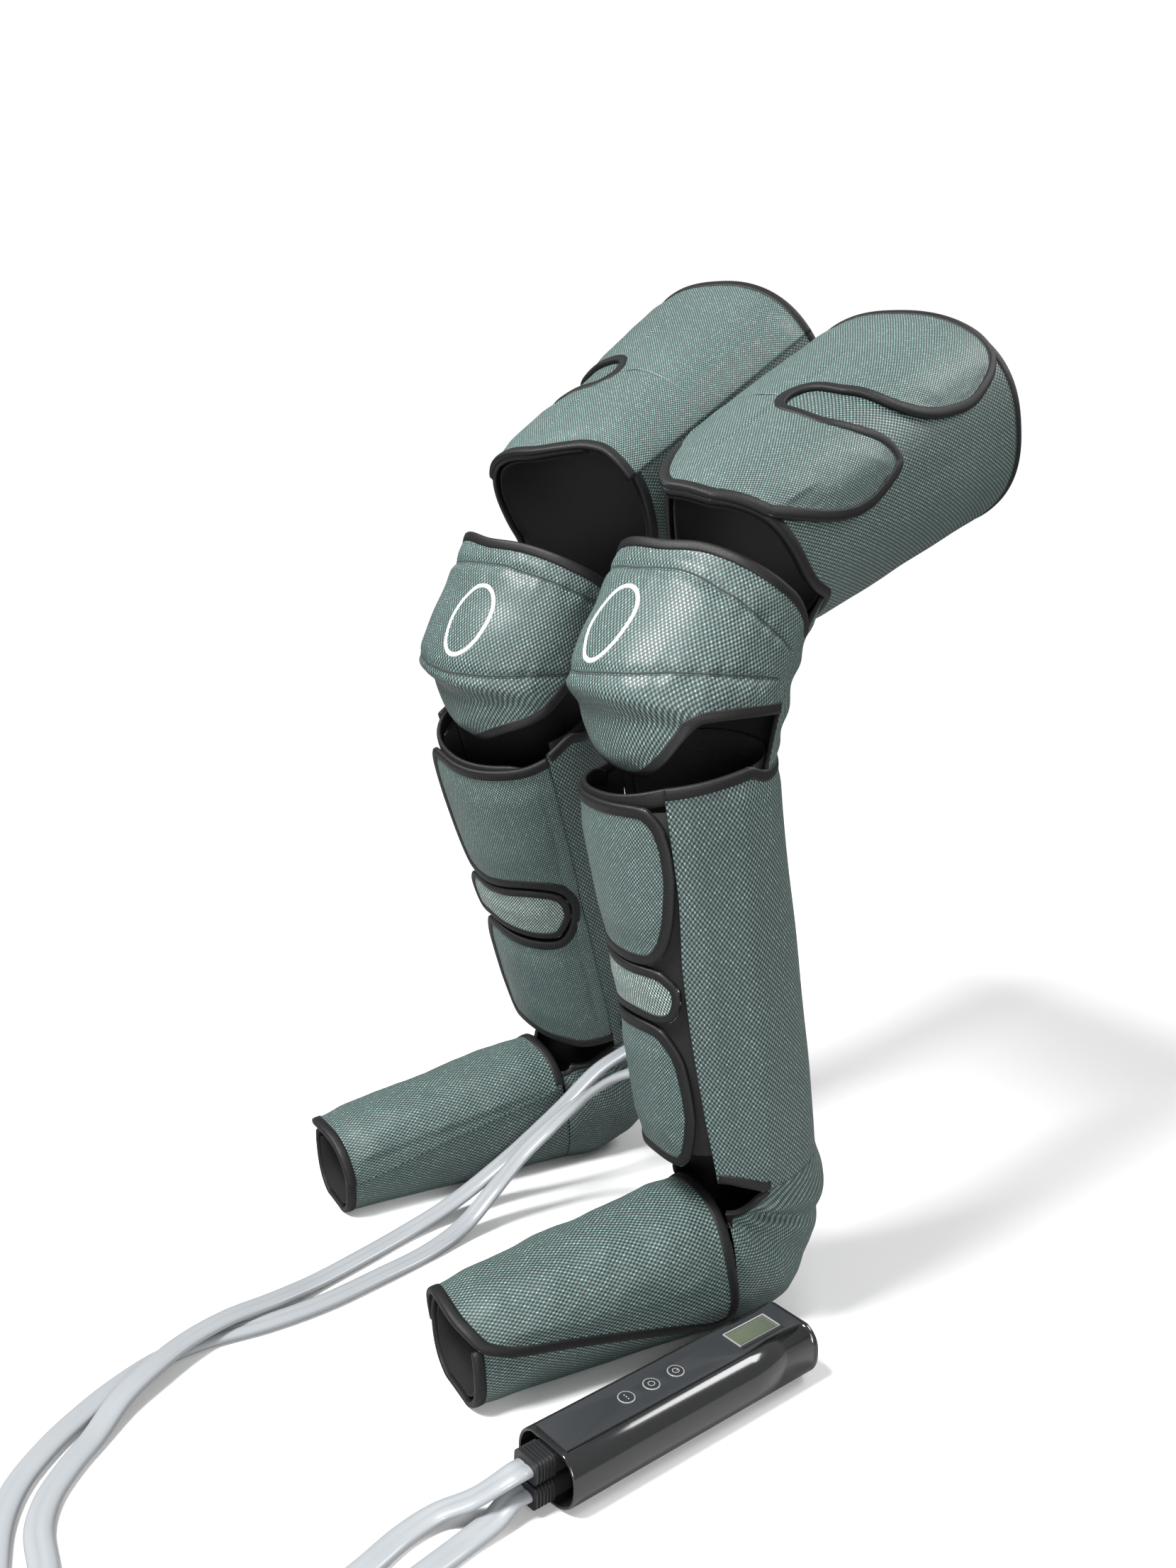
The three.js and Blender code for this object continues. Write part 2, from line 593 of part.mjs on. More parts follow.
function addLeg(name, pose) {
  const leg = new THREE.Group();
  leg.position.set(pose.heelX, pose.heelY, 0);
  leg.rotation.z = pose.footTurn * degree;
  model.add(leg);

  const surfaces = legSurfaces(pose);
  const mirrored = (surface) => (angle, share, offset) => {
    const point = surface(angle, share, offset);
    point.x *= pose.side;
    return point;
  };
  const calf = mirrored(surfaces.calf);
  const thigh = mirrored(surfaces.thigh);
  const foot = mirrored(surfaces.foot);
  const heel = mirrored(surfaces.heel);
  const knee = mirrored(surfaces.kneeSurface);
  const sheet = (piece, finish, options) => addPiece(leg, `${name}_${piece}`, sheetGeometry(options), finish);
  const band = (piece, place, span, inner, outer) => sheet(piece, black, {
    columns: columnsBetween(span.from, span.to),
    lanes: [{
      from: span.from,
      to: span.to,
      low: constant(span.lowShare),
      high: constant(span.highShare),
      shares: [middleShare],
    }],
    place,
    inner,
    outer,
  });

  // Foot
  sheet('foot_wrap', mesh, {
    columns: columnsBetween(footWrapStart, footWrapEnd),
    lanes: [{
      from: footWrapStart,
      to: footWrapEnd,
      low: fromTable(footWrapRearShares),
      high: constant(footEndShare),
      shares: [middleShare],
    }],
    place: foot,
    inner: 0,
    outer: fabric,
  });
  band('foot_bladder', foot, spans.footBladder, bladderInner, bladderOuter);
  band('foot_lining', foot, spans.footLining, liningInner, liningOuter);
  sheet('foot_flap', mesh, {
    columns: columnsBetween(footRoot, footFlapEnd, [20, 78, 92, 108, 122]),
    lanes: [{
      from: footRoot,
      to: footFlapEnd,
      low: fromTable(footFlapRearShares),
      high: fromTable(footFlapFrontShares),
      shares: [middleShare],
    }],
    place: foot,
    inner: overFlapInner,
    outer: overFlapOuter,
  });

  // Heel, open at the front of the ankle
  sheet('heel_panel', mesh, {
    columns: columnsBetween(-heelEdge, heelEdge),
    lanes: [{
      from: -heelEdge,
      to: heelEdge,
      low: (a) => readTable(heelOpeningShares, Math.abs(a)),
      high: constant(1),
      shares: sharesBetween(0, 1, heelRowShare),
    }],
    place: heel,
    inner: 0,
    outer: fabric,
  });

  // Calf
  sheet('calf_wrap', mesh, {
    columns: columnsBetween(calfBodyEdge, 360 + calfRoot - calfRootGap, [68, 79]),
    lanes: [{
      from: calfBodyEdge,
      to: 360 + calfRoot - calfRootGap,
      low: fromTable(calfWrapLowShares),
      high: fromTable(calfWrapTopShares),
      shares: [middleShare],
    }],
    place: calf,
    inner: 0,
    outer: fabric,
  });
  band('calf_bladder', calf, spans.calfBladder, bladderInner, bladderOuter);
  band('calf_lining', calf, spans.calfLining, liningInner, liningOuter);
  band('calf_loop_strip', calf, spans.calfLoopStrip, bladderOuter - stripThickness, bladderOuter);
  sheet('calf_flap', mesh, {
    columns: columnsBetween(calfRoot, calfFlapEnd, [calfSlitEnd, -73, 25, 33, 37, 39, calfLowerEnd, 44, 47]),
    lanes: [
      {
        from: calfRoot,
        to: calfLowerEnd,
        low: fromTable(calfLowerLowShares),
        high: (a) => (a < calfSlitEnd ? calfSlitShare : readTable(calfLowerHighShares, a)),
      },
      {
        from: calfRoot,
        to: calfFlapEnd,
        low: (a) => (a < calfSlitEnd ? calfSlitShare : readTable(calfUpperLowShares, a)),
        high: fromTable(calfFlapTopShares),
      },
    ],
    place: calf,
    inner: 0,
    outer: fabric,
  });
  sheet('calf_strap', paleMesh, {
    columns: columnsBetween(strapStart, strapEnd, [11, 20, 26, 34, 39]),
    lanes: [{
      from: strapStart,
      to: strapEnd,
      low: fromTable(strapLowShares),
      high: fromTable(strapHighShares),
    }],
    place: calf,
    inner: 0,
    outer: fabric,
  });

  // Knee
  sheet('knee_cup', mesh, {
    columns: columnsBetween(-kneeCupEdge, kneeCupEdge, [-98, -80, -49, 20, 32, 49, 56], bendStep),
    lanes: [{
      from: -kneeCupEdge,
      to: kneeCupEdge,
      low: fromTable(kneeHemShares),
      high: fromTable(kneeTopShares),
      shares: kneeRowShares,
    }],
    place: knee,
    inner: 0,
    outer: fabric,
  });
  sheet('knee_heating_pad', black, {
    columns: columnsBetween(spans.kneePad.from, spans.kneePad.to),
    lanes: [{
      ...spans.kneePad,
      low: constant(kneeRowShares[3]),
      high: constant(kneeRowShares[7]),
      shares: kneeRowShares.slice(4, 7),
    }],
    place: knee,
    inner: bladderInner,
    outer: bladderOuter,
  });
  const backStart = kneeCupEdge + kneeSeamAngle;
  const backEnd = 360 - backStart;
  sheet('knee_back_panel', mesh, {
    columns: columnsBetween(backStart, backEnd),
    lanes: [{
      from: backStart,
      to: backEnd,
      low: constant(0),
      high: constant(1),
      shares: sharesBetween(0, 1, backRowShare),
    }],
    place: knee,
    inner: 0,
    outer: fabric,
  });

  // Thigh
  const hem = (a) => readTable(thighHemShares, a) + pose.hemShare * readTable(thighDipShares, a);
  const thighColumns = columnsBetween(thighBodyEdge, 360 + thighRoot, [2, 12, 37, 82]);
  sheet('thigh_wrap', mesh, {
    columns: thighColumns,
    lanes: [{
      from: thighBodyEdge,
      to: 360 + thighRoot,
      low: hem,
      high: constant(1),
      shares: thighRowShares,
    }],
    place: thigh,
    inner: 0,
    outer: fabric,
  });
  sheet('thigh_bladder', black, {
    columns: thighColumns,
    lanes: [{
      ...spans.thighBladder,
      low: constant(thighRowShares[0]),
      high: constant(thighRowShares[2]),
      shares: [middleShare],
    }],
    place: thigh,
    inner: bladderInner,
    outer: bladderOuter,
  });
  sheet('thigh_lining', black, {
    columns: thighColumns,
    lanes: [{
      from: thighBodyEdge,
      to: 360 + thighRoot,
      low: (a) => hem(a) + liningShare,
      high: constant(1 - liningShare),
      shares: thighRowShares,
    }],
    place: thigh,
    inner: liningInner,
    outer: liningOuter,
  });
  sheet('thigh_flap', mesh, {
    columns: columnsBetween(
      thighRoot - thighRootLap, thighLowerEnd,
      [thighSlitEnd, 6, 10, 23, 37, 43, 50.5, 56, 60, 64, thighUpperEnd, 71, 78]),
    lanes: [
      {
        from: thighRoot - thighRootLap,
        to: thighLowerEnd,
        low: (a) => (a < thighLowerLowShares[0][0] ? hem(a) : readTable(thighLowerLowShares, a)),
        high: (a) => (a < thighSlitEnd ? thighSlitShare : readTable(thighLowerHighShares, a)),
      },
      {
        from: thighRoot - thighRootLap,
        to: thighUpperEnd,
        low: (a) => (a < thighSlitEnd ? thighSlitShare : readTable(thighUpperLowShares, a)),
        high: fromTable(thighFlapTopShares),
      },
    ],
    place: thigh,
    inner: overFlapInner,
    outer: overFlapOuter,
  });

  // Hose port, a flat boss on the inner side just above the ankle
  const seat = calf(portAngle * degree, portShare, fabric);
  const beside = calf((portAngle + sheetStep) * degree, portShare, fabric).sub(seat);
  const above = calf(portAngle * degree, portShare * 2, fabric).sub(seat);
  const normal = beside.cross(above).normalize();
  if (normal.dot(seat.clone().sub(calf((portAngle + 180) * degree, portShare, 0))) < 0) normal.negate();
  const lift = seatGap;
  const boss = new THREE.CylinderGeometry(portRadius, portRadius, portThickness, 16);
  const port = addPiece(leg, `${name}_hose_port`, boss, black);
  port.quaternion.setFromUnitVectors(new THREE.Vector3(0, 1, 0), normal);
  port.position.copy(seat).addScaledVector(normal, lift + portThickness / 2);
  leg.updateMatrixWorld(true);
  return {
    face: leg.localToWorld(seat.clone().addScaledVector(normal, lift + portThickness + seatGap)),
    normal: normal.clone().transformDirection(leg.matrixWorld),
  };
}

const leftPort = addLeg('left', legPoses.left);
const rightPort = addLeg('right', legPoses.right);

// Half width of the handset's rounded section at a height, for a wall offset inwards
function sectionHalfWidth(z, inset) {
  const rise = Math.abs(z - handsetHeight / 2) / (handsetHeight / 2 - inset);
  return (handsetHalfWidth - inset) * (1 - rise ** handsetPower) ** (1 / handsetPower);
}

// Height of the section's underside at a distance from its middle plane
function sectionFloor(x, inset) {
  const reach = (x / (handsetHalfWidth - inset)) ** handsetPower;
  return handsetHeight / 2 - (handsetHeight / 2 - inset) * (1 - reach) ** (1 / handsetPower);
}

// The section as a shape in X and Z, cut flat on top
function sectionShape(inset, topFlat) {
  const outline = [];
  const count = 40;
  for (let i = 0; i < count; i += 1) {
    const ring = roundedRing((2 * Math.PI * i) / count, handsetPower);
    const x = ring.across * (handsetHalfWidth - inset);
    const z = handsetHeight / 2 + ring.along * (handsetHeight / 2 - inset);
    if (z < topFlat) outline.push(new THREE.Vector2(x, z));
  }
  const corner = sectionHalfWidth(topFlat, inset);
  const gap = outline.findIndex((p, i) => p.x > 0 && outline[(i + outline.length - 1) % outline.length].x < 0
    && p.y > handsetHeight / 2);
  outline.splice(gap, 0, new THREE.Vector2(-corner, topFlat), new THREE.Vector2(corner, topFlat));
  return new THREE.Shape(outline);
}

// An outline in X and Z drawn out along +Y from a place
function extrudeAlong(shape, length, y, bevel = 0, curveSegments = 8) {
  const options = {
    depth: length - 2 * bevel,
    bevelEnabled: bevel > 0,
    bevelThickness: bevel,
    bevelSize: bevel,
    bevelOffset: -bevel,
    bevelSegments: 2,
    curveSegments,
  };
  return new THREE.ExtrudeGeometry(shape, options)
    .translate(0, 0, -(length - bevel))
    .rotateX(Math.PI / 2)
    .translate(0, y, 0);
}

function addHandset() {
  const handset = new THREE.Group();
  handset.position.set(handsetX, handsetY, 0);
  handset.rotation.z = handsetTurn * degree;
  model.add(handset);

  const innerFlat = handsetTopFlat - handsetWall;
  const tubeLength = handsetLength - handsetCapLength;
  const buttonPlaces = [0, 1, 2].map((i) => buttonFirst + i * buttonPitch);
  const buttonHole = buttonRadius + seatGap;
  const underPanel = handsetTopFlat + seatGap;
  const panelTop = underPanel + panelThickness;

  // Gloss shell, open at the plug end, with holes for the buttons and the display
  const tube = extrudeAlong(sectionShape(0, handsetTopFlat), tubeLength, 0);
  const hollow = extrudeAlong(sectionShape(handsetWall, innerFlat), tubeLength + 2 * overrun, -overrun);
  const topHoles = buttonPlaces.map((y) => cylinderZ(
    buttonHole, handsetWall + 2 * overrun, 0, y, innerFlat - overrun));
  const windowHole = box(
    windowWidth + 2 * seatGap, windowLength + 2 * seatGap, handsetWall + 2 * overrun,
    0, windowCentre, handsetTopFlat - handsetWall / 2);
  addPiece(handset, 'handset_shell', cut(tube, hollow, ...topHoles, windowHole), gloss);

  // End cap, rounded at the outer edge, with a lip that enters the shell
  const capStart = tubeLength + seatGap;
  const cap = extrudeAlong(
    sectionShape(0, handsetTopFlat), handsetCapLength - seatGap, capStart, handsetCapRound);
  const lipInset = handsetWall + seatGap;
  const lip = extrudeAlong(
    sectionShape(lipInset, innerFlat - seatGap), handsetCapLength, tubeLength - handsetCapLength / 2);
  addPiece(handset, 'handset_end_cap', join(cap, lip), gloss);

  // Matt top panel, narrower beside the display
  const outline = new THREE.Shape();
  const start = panelEndMargin;
  const end = tubeLength;
  const waistStart = windowCentre - windowLength;
  const waistEnd = windowCentre + windowLength / 2;
  const windowNear = windowCentre - windowLength / 2;
  outline.moveTo(-panelHalfWidth, start);
  outline.lineTo(panelHalfWidth, start);
  outline.lineTo(panelHalfWidth, waistStart);
  outline.quadraticCurveTo(panelHalfWidth, windowNear, panelWaistHalfWidth, windowCentre);
  outline.quadraticCurveTo(panelWaistHalfWidth, waistEnd, panelHalfWidth, end);
  outline.lineTo(-panelHalfWidth, end);
  outline.quadraticCurveTo(-panelWaistHalfWidth, waistEnd, -panelWaistHalfWidth, windowCentre);
  outline.quadraticCurveTo(-panelHalfWidth, windowNear, -panelHalfWidth, waistStart);
  const plateOptions = { depth: panelThickness, bevelEnabled: false, curveSegments: 6 };
  const plate = new THREE.ExtrudeGeometry(outline, plateOptions).translate(0, 0, underPanel);
  const plateHoles = buttonPlaces.map((y) => cylinderZ(
    buttonHole, panelThickness + 2 * overrun, 0, y, underPanel - overrun));
  const plateWindow = box(
    windowWidth + 2 * seatGap, windowLength + 2 * seatGap, panelThickness + 2 * overrun,
    0, windowCentre, underPanel + panelThickness / 2);
  const ledge = box(
    ledgeWidth, windowLength + displayMargin, ledgeHeight,
    windowWidth / 2 + seatGap + ledgeWidth, windowCentre, panelTop + ledgeHeight / 2 - panelThickness / 2);
  addPiece(handset, 'handset_top_panel', join(cut(plate, ...plateHoles, plateWindow), ledge), matte);

  // Buttons, each a cap over a wider lip that stops it under the shell
  const boardSeat = boardTop + seatGap;
  ['heat_button', 'mode_button', 'power_button'].forEach((name, i) => {
    const lipTop = innerFlat - seatGap;
    const lipBottom = boardSeat + buttonTravel + seatGap;
    const profile = [
      new THREE.Vector2(0, lipBottom),
      new THREE.Vector2(buttonRadius + buttonLip, lipBottom),
      new THREE.Vector2(buttonRadius + buttonLip, lipTop),
      new THREE.Vector2(buttonRadius, lipTop),
      new THREE.Vector2(buttonRadius, panelTop),
      new THREE.Vector2(buttonRadius - buttonProud, panelTop + buttonProud),
      new THREE.Vector2(0, panelTop + buttonProud / 2),
    ];
    const button = new THREE.LatheGeometry(profile, 20).rotateX(Math.PI / 2);
    const piece = addPiece(handset, name, fromSolid(toSolid(button)), matte);
    piece.position.y = buttonPlaces[i];
  });

  // Display window over its module
  addPiece(handset, 'display_window', box(
    windowWidth, windowLength, panelTop - innerFlat, 0, windowCentre, (panelTop + innerFlat) / 2,
  ), { color: 0x59604c, roughness: 0.1, metalness: 0 });
  const moduleTop = innerFlat - seatGap;
  addPiece(handset, 'display_module', box(
    windowWidth + 2 * displayMargin, windowLength + 2 * displayMargin, moduleTop - boardSeat,
    0, windowCentre, (moduleTop + boardSeat) / 2,
  ), { color: 0x8c9478, roughness: 0.4, metalness: 0 });

  const boardHalfWidth = sectionHalfWidth(boardTop, handsetWall) - 2 * seatGap;
  addPiece(handset, 'circuit_board', box(
    2 * boardHalfWidth, boardEnd - boardStart, boardThickness,
    0, (boardStart + boardEnd) / 2, boardTop - boardThickness / 2,
  ), { color: 0x1d5a38, roughness: 0.5, metalness: 0.1 });

  // Socket block across the shell, with a nozzle for each plug and the power inlet beside them
  const socketEnd = socketStart + socketDepth;
  const block = extrudeAlong(sectionShape(lipInset, innerFlat - seatGap), socketDepth, socketStart);
  const nozzles = [upperPlugZ, lowerPlugZ].map((z) => cylinderY(
    nozzleRadius, nozzleLength + overrun, 0, socketStart - nozzleLength, z, 16));
  const bores = [upperPlugZ, lowerPlugZ].map((z) => cylinderY(
    nozzleBore, nozzleLength + socketDepth + 2 * overrun, 0, socketStart - nozzleLength - overrun, z, 12));
  const inletHole = cylinderY(
    inletRadius + seatGap, socketDepth + 2 * overrun, inletX, socketStart - overrun, inletZ, 16);
  addPiece(handset, 'socket_block', cut(join(block, ...nozzles), ...bores, inletHole), black);
  const inletBarrel = cylinderY(inletRadius, inletLength, inletX, socketStart, inletZ, 16);
  const cupRadius = inletRadius - inletWall;
  const inletCup = cylinderY(cupRadius, inletLength - overrun, inletX, socketStart - overrun, inletZ, 16);
  const inletPin = cylinderY(
    inletPinRadius, inletLength - inletWall, inletX, socketStart + inletWall / 2, inletZ, 10);
  addPiece(handset, 'power_inlet', join(cut(inletBarrel, inletCup), inletPin), black);

  // Pump and valves in the lower half
  const floorLevel = handsetWall + seatGap;
  const pumpZ = floorLevel + pumpHeadRadius;
  addPiece(handset, 'pump_motor', cylinderY(pumpRadius, pumpLength, 0, pumpStart, pumpZ), steel);
  addPiece(handset, 'pump_head', cylinderY(
    pumpHeadRadius, pumpHeadLength, 0, pumpStart - pumpHeadLength - seatGap, pumpZ,
  ), black);
  const valveFloor = sectionFloor(valveWidth / 2, handsetWall) + seatGap;
  const valveBody = box(
    valveWidth, valveLength, valveHeight,
    0, valveStart + valveLength / 2, valveFloor + valveHeight / 2);
  addPiece(handset, 'air_valves', valveBody, black);
  return handset;
}

// Rounded rectangle in X and Z about a height
function roundedRectangle(halfWidth, halfHeight, round, z) {
  const shape = new THREE.Shape();
  shape.moveTo(-halfWidth + round, z - halfHeight);
  shape.lineTo(halfWidth - round, z - halfHeight);
  shape.absarc(halfWidth - round, z - halfHeight + round, round, -Math.PI / 2, 0);
  shape.lineTo(halfWidth, z + halfHeight - round);
  shape.absarc(halfWidth - round, z + halfHeight - round, round, 0, Math.PI / 2);
  shape.lineTo(-halfWidth + round, z + halfHeight);
  shape.absarc(-halfWidth + round, z + halfHeight - round, round, Math.PI / 2, Math.PI);
  shape.lineTo(-halfWidth, z - halfHeight + round);
  shape.absarc(-halfWidth + round, z - halfHeight + round, round, Math.PI, 1.5 * Math.PI);
  return shape;
}

// A plug: a smooth nose inside the handset and a ribbed grip outside it
function addPlug(handset, name, z) {
  const ribPitch = plugOutside / plugRibs;
  const noseHalfWidth = plugHalfWidth - plugRibDepth;
  const noseHalfHeight = plugHalfHeight - plugRibDepth;
  const nose = extrudeAlong(
    roundedRectangle(noseHalfWidth, noseHalfHeight, plugRound - plugRibDepth, z),
    plugInside + plugOutside, -plugOutside, 0, plugCornerSteps);
  const ribs = [];
  for (let i = 0; i < plugRibs; i += 1) {
    ribs.push(extrudeAlong(
      roundedRectangle(plugHalfWidth, plugHalfHeight, plugRound, z),
      ribPitch / 2, i * ribPitch - plugOutside, 0, plugCornerSteps));
  }
  const bore = cylinderY(
    nozzleRadius + seatGap, nozzleLength + overrun, 0, socketStart - nozzleLength - seatGap, z, 16);
  const piece = addPiece(handset, name, cut(join(nose, ...ribs), bore), black);
  cordNames.push(name);
  return piece;
}

const handset = addHandset();
addPlug(handset, 'upper_plug', upperPlugZ);
addPlug(handset, 'lower_plug', lowerPlugZ);

// Flat section of a hose, its width across the route
function hoseShape() {
  const outline = [];
  for (let i = 0; i < hoseSides; i += 1) {
    const ring = roundedRing((2 * Math.PI * i) / hoseSides, hosePower);
    outline.push(new THREE.Vector2(ring.across * hoseThickness / 2, ring.along * hoseWidth / 2));
  }
  return new THREE.Shape(outline);
}

// A hose from a plug, along chosen points on the floor, up to a port on a leg
function addHose(name, plugZ, route, port) {
  handset.updateMatrixWorld(true);
  const start = handset.localToWorld(new THREE.Vector3(0, -plugOutside - seatGap, plugZ));
  const lead = handset.localToWorld(new THREE.Vector3(0, -plugOutside - seatGap - hoseLead / 2, plugZ));
  const points = [start, lead, ...route.map((p) => new THREE.Vector3(...p))];
  points.push(port.face.clone().addScaledVector(port.normal, hoseLead), port.face.clone());
  const path = new THREE.CatmullRomCurve3(points, false, 'centripetal');
  const options = { steps: hoseSteps, bevelEnabled: false, extrudePath: path };
  const geometry = new THREE.ExtrudeGeometry(hoseShape(), options);
  addPiece(model, name, geometry, hoseGrey);
  cordNames.push(name);
}

// Hose routes, as places that the hose passes
const rightHoseRoute = [
  [241, -368, 18], [228, -388, 8], [228, -415, 4.5], [238, -452, 4.5], [248, -500, 4.5], [248, -545, 4.5],
  [235, -590, 4.5], [205, -620, 4.5], [160, -628, 4.5], [116, -615, 4.5], [80, -606, 4.5], [56, -592, 4.5],
  [34, -570, 4.5], [15, -545, 5.5], [-8, -515, 11], [-23, -487, 14], [-40, -450, 14.5], [-50, -410, 14],
  [-56, -365, 10], [-66, -320, 5], [-76, -270, 4.5], [-88, -215, 5], [-92, -165, 14], [-90, -120, 34],
  [-80, -85, 62], [-70, -50, 92], [-62, -15, 122],
];
const leftHoseRoute = [
  [256, -362, 8], [258, -385, 4.5], [264, -420, 4.5], [272, -470, 4.5], [276, -530, 4.5], [266, -590, 4.5],
  [236, -638, 4.5], [185, -658, 4.5], [130, -650, 4.5], [90, -638, 4.5], [58, -624, 4.5], [30, -604, 4.5],
  [5, -575, 4.5], [-14, -545, 4.5], [-32, -508, 4.5], [-44, -470, 4.5], [-46, -430, 4.5], [-38, -380, 4.5],
  [-36, -330, 4.5], [-42, -270, 4.5], [-50, -215, 4.5], [-58, -172, 12], [-60, -140, 34], [-55, -110, 64],
  [-48, -82, 88], [-36, -62, 110], [-16, -52, 132], [6, -46, 150], [30, -38, 163], [50, -30, 168],
];
addHose('right_hose', upperPlugZ, rightHoseRoute, rightPort);
addHose('left_hose', lowerPlugZ, leftHoseRoute, leftPort);

// The origin is the middle of the footprint of everything but the plugs and hoses
model.updateMatrixWorld(true);
const footprint = new THREE.Box3();
model.traverse((piece) => {
  if (piece.isMesh && !cordNames.includes(piece.name)) footprint.expandByObject(piece, true);
});
const middle = footprint.getCenter(new THREE.Vector3());
model.position.set(-middle.x, -middle.y, -footprint.min.z);

export default model;
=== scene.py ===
import json
import math

import bmesh
import bpy
from mathutils import Matrix, Vector, noise

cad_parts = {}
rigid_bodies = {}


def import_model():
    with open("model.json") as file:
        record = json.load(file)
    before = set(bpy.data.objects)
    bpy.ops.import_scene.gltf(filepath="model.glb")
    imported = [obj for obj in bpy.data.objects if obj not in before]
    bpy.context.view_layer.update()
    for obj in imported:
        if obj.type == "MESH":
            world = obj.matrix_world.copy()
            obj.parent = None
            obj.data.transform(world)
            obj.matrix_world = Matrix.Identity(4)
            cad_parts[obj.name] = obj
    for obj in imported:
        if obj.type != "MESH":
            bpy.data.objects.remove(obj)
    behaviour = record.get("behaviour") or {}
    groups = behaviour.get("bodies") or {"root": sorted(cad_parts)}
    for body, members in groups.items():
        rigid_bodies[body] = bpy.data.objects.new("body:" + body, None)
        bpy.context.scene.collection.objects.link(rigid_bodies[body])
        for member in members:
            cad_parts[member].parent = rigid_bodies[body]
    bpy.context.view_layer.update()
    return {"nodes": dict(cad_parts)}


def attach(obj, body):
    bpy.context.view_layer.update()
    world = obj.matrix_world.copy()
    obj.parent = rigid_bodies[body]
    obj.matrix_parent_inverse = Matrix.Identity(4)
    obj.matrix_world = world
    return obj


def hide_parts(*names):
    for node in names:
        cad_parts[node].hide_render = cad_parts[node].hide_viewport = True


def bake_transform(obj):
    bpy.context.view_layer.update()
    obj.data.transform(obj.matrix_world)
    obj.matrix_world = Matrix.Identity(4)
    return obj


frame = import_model()

bl_info = {
    "name": "Compression leg wraps with a hand pump",
    "version": (1, 0, 0),
    "blender": (4, 5, 0),
    "location": "3D View > Sidebar > Leg Wraps",
    "description": "Builds full-leg air compression wraps and the handset that inflates them",
    "category": "Add Mesh",
}

MM = 0.001
ORIGIN_SHIFT = Vector((-16.416081, 27.280097, 0.0))

# The camera of the photograph, in metres, degrees and pixels
CAMERA_PLACE = Vector((0.92574, -0.85058, 0.72600))
CAMERA_AIM = Vector((-0.75051, 0.61568, -0.24016))
CAMERA_ROLL = 1.9229
SENSOR_HEIGHT = 24.0
FOCAL_PIXELS = 2041.8
PHOTO_HEIGHT = 2212.0

# Name, place, target, size and power of each lamp, in metres and watts
LAMPS = (
    ("key", (-0.2, -1.9, 3.1), (0.0, 0.0, 0.35), 0.9, 225.0),
    ("fill", (2.8, -1.2, 1.9), (0.1, 0.0, 0.4), 1.2, 32.0),
    ("front", (2.1, -1.75, 0.7), (0.1, 0.0, 0.35), 0.6, 34.0),
    ("rim", (0.9, 2.2, 2.6), (0.0, 0.1, 0.5), 1.2, 45.0),
)
WORLD_STRENGTH = 0.3
FLOOR_HALF_SIZE = 14.0

# Layers, as (inner, outer) millimetres outwards from each sleeve's surface
FABRIC = 3.5
GAP = 0.3
WRAP = (0, FABRIC)
FLAP = (FABRIC + GAP, FABRIC + GAP + FABRIC)
BLADDER = (-GAP - 2.4, -GAP)
LINING = (BLADDER[0] - GAP - 1.6, BLADDER[0] - GAP)
LOOP_STRIP = (-GAP - 1.8, -GAP)

# The sleeves, in millimetres: lengths, then half widths and half depths at their two ends, and
# the powers of their rounded sections
ANKLE_HEIGHT = 145
CALF_LENGTH = 342.7
CALF_WIDTHS = (60.2, 72)
CALF_DEPTHS = (65.3, 69)
CALF_POWER = 2.2
KNEE_RISE = 127.5
KNEE_WIDTH = 73.6
KNEE_DEPTH = 138
THIGH_START = 117.8
THIGH_LENGTH = 285.6
THIGH_LOWER_WIDTH = 76.8
THIGH_OUTER_WIDTH = 106.3
THIGH_INNER_WIDTH = 94
THIGH_DEPTHS = (73.8, 94.2)
THIGH_POWER = 2.4
FOOT_WIDTHS = (45, 41)
FOOT_POWER = 2.6
FOOT_TOP = (Vector((0, -75, 120)), Vector((0, -305, 78 - FABRIC)))
FOOT_BOTTOM = (Vector((0, -60, FABRIC - 2)), Vector((0, -299, FABRIC - 2)))
HEEL_WIDTH = 44
STRIP_STEP = 0.003
HEEL_TAPE_WIDTH = 0.005
STRAP_TAPE_WIDTH = 0.0068
FRONT_TAPE_WIDTH = 0.012

LEGS = {
    "left": {
        "side": 1, "heel": (170, -10), "foot_turn": -9.6, "ankle_reach": 47.2, "shin_lean": 12.03,
        "shin_tilt": -0.73, "thigh_rise": 19.2, "thigh_turn": 22.5, "hem_share": 1.0,
    },
    "right": {
        "side": -1, "heel": (-132, 53), "foot_turn": -9.2, "ankle_reach": 21.6, "shin_lean": 19.8,
        "shin_tilt": -8.3, "thigh_rise": 28.9, "thigh_turn": -16.5, "hem_share": 0.3,
    },
}

HANDSET_PLACE = Vector((253, -316, 0))
HANDSET_TURN = 1.2
HANDSET_LENGTH = 250
HANDSET_HALF_WIDTH = 31.5
HANDSET_HEIGHT = 48
HANDSET_TOP_FLAT = 45.5
HANDSET_POWER = 2.5
HANDSET_WALL = 2.5
CAP_LENGTH = 7
CAP_ROUND = 3.0
PANEL_TOP = HANDSET_TOP_FLAT + GAP + 1.6
WINDOW_WIDTH = 17.4
WINDOW_LENGTH = 43
WINDOW_CENTRE = 204
BUTTON_PLACES = {"heat_button": 73.5, "mode_button": 98.0, "power_button": 122.5}
BUTTON_RADIUS = 6.8
BUTTON_SYMBOLS = {
    "heat_button": (("dot", -2.4, 0), ("dot", 0, 0), ("dot", 2.4, 0)),
    "mode_button": (("ring", 0, 0),),
    "power_button": (("ring", 0, 0), ("bar", 0, 1.6)),
}
PLUG_LEVELS = {"upper_plug": 34.2, "lower_plug": 14.4}
PLUG_OUTSIDE = 18

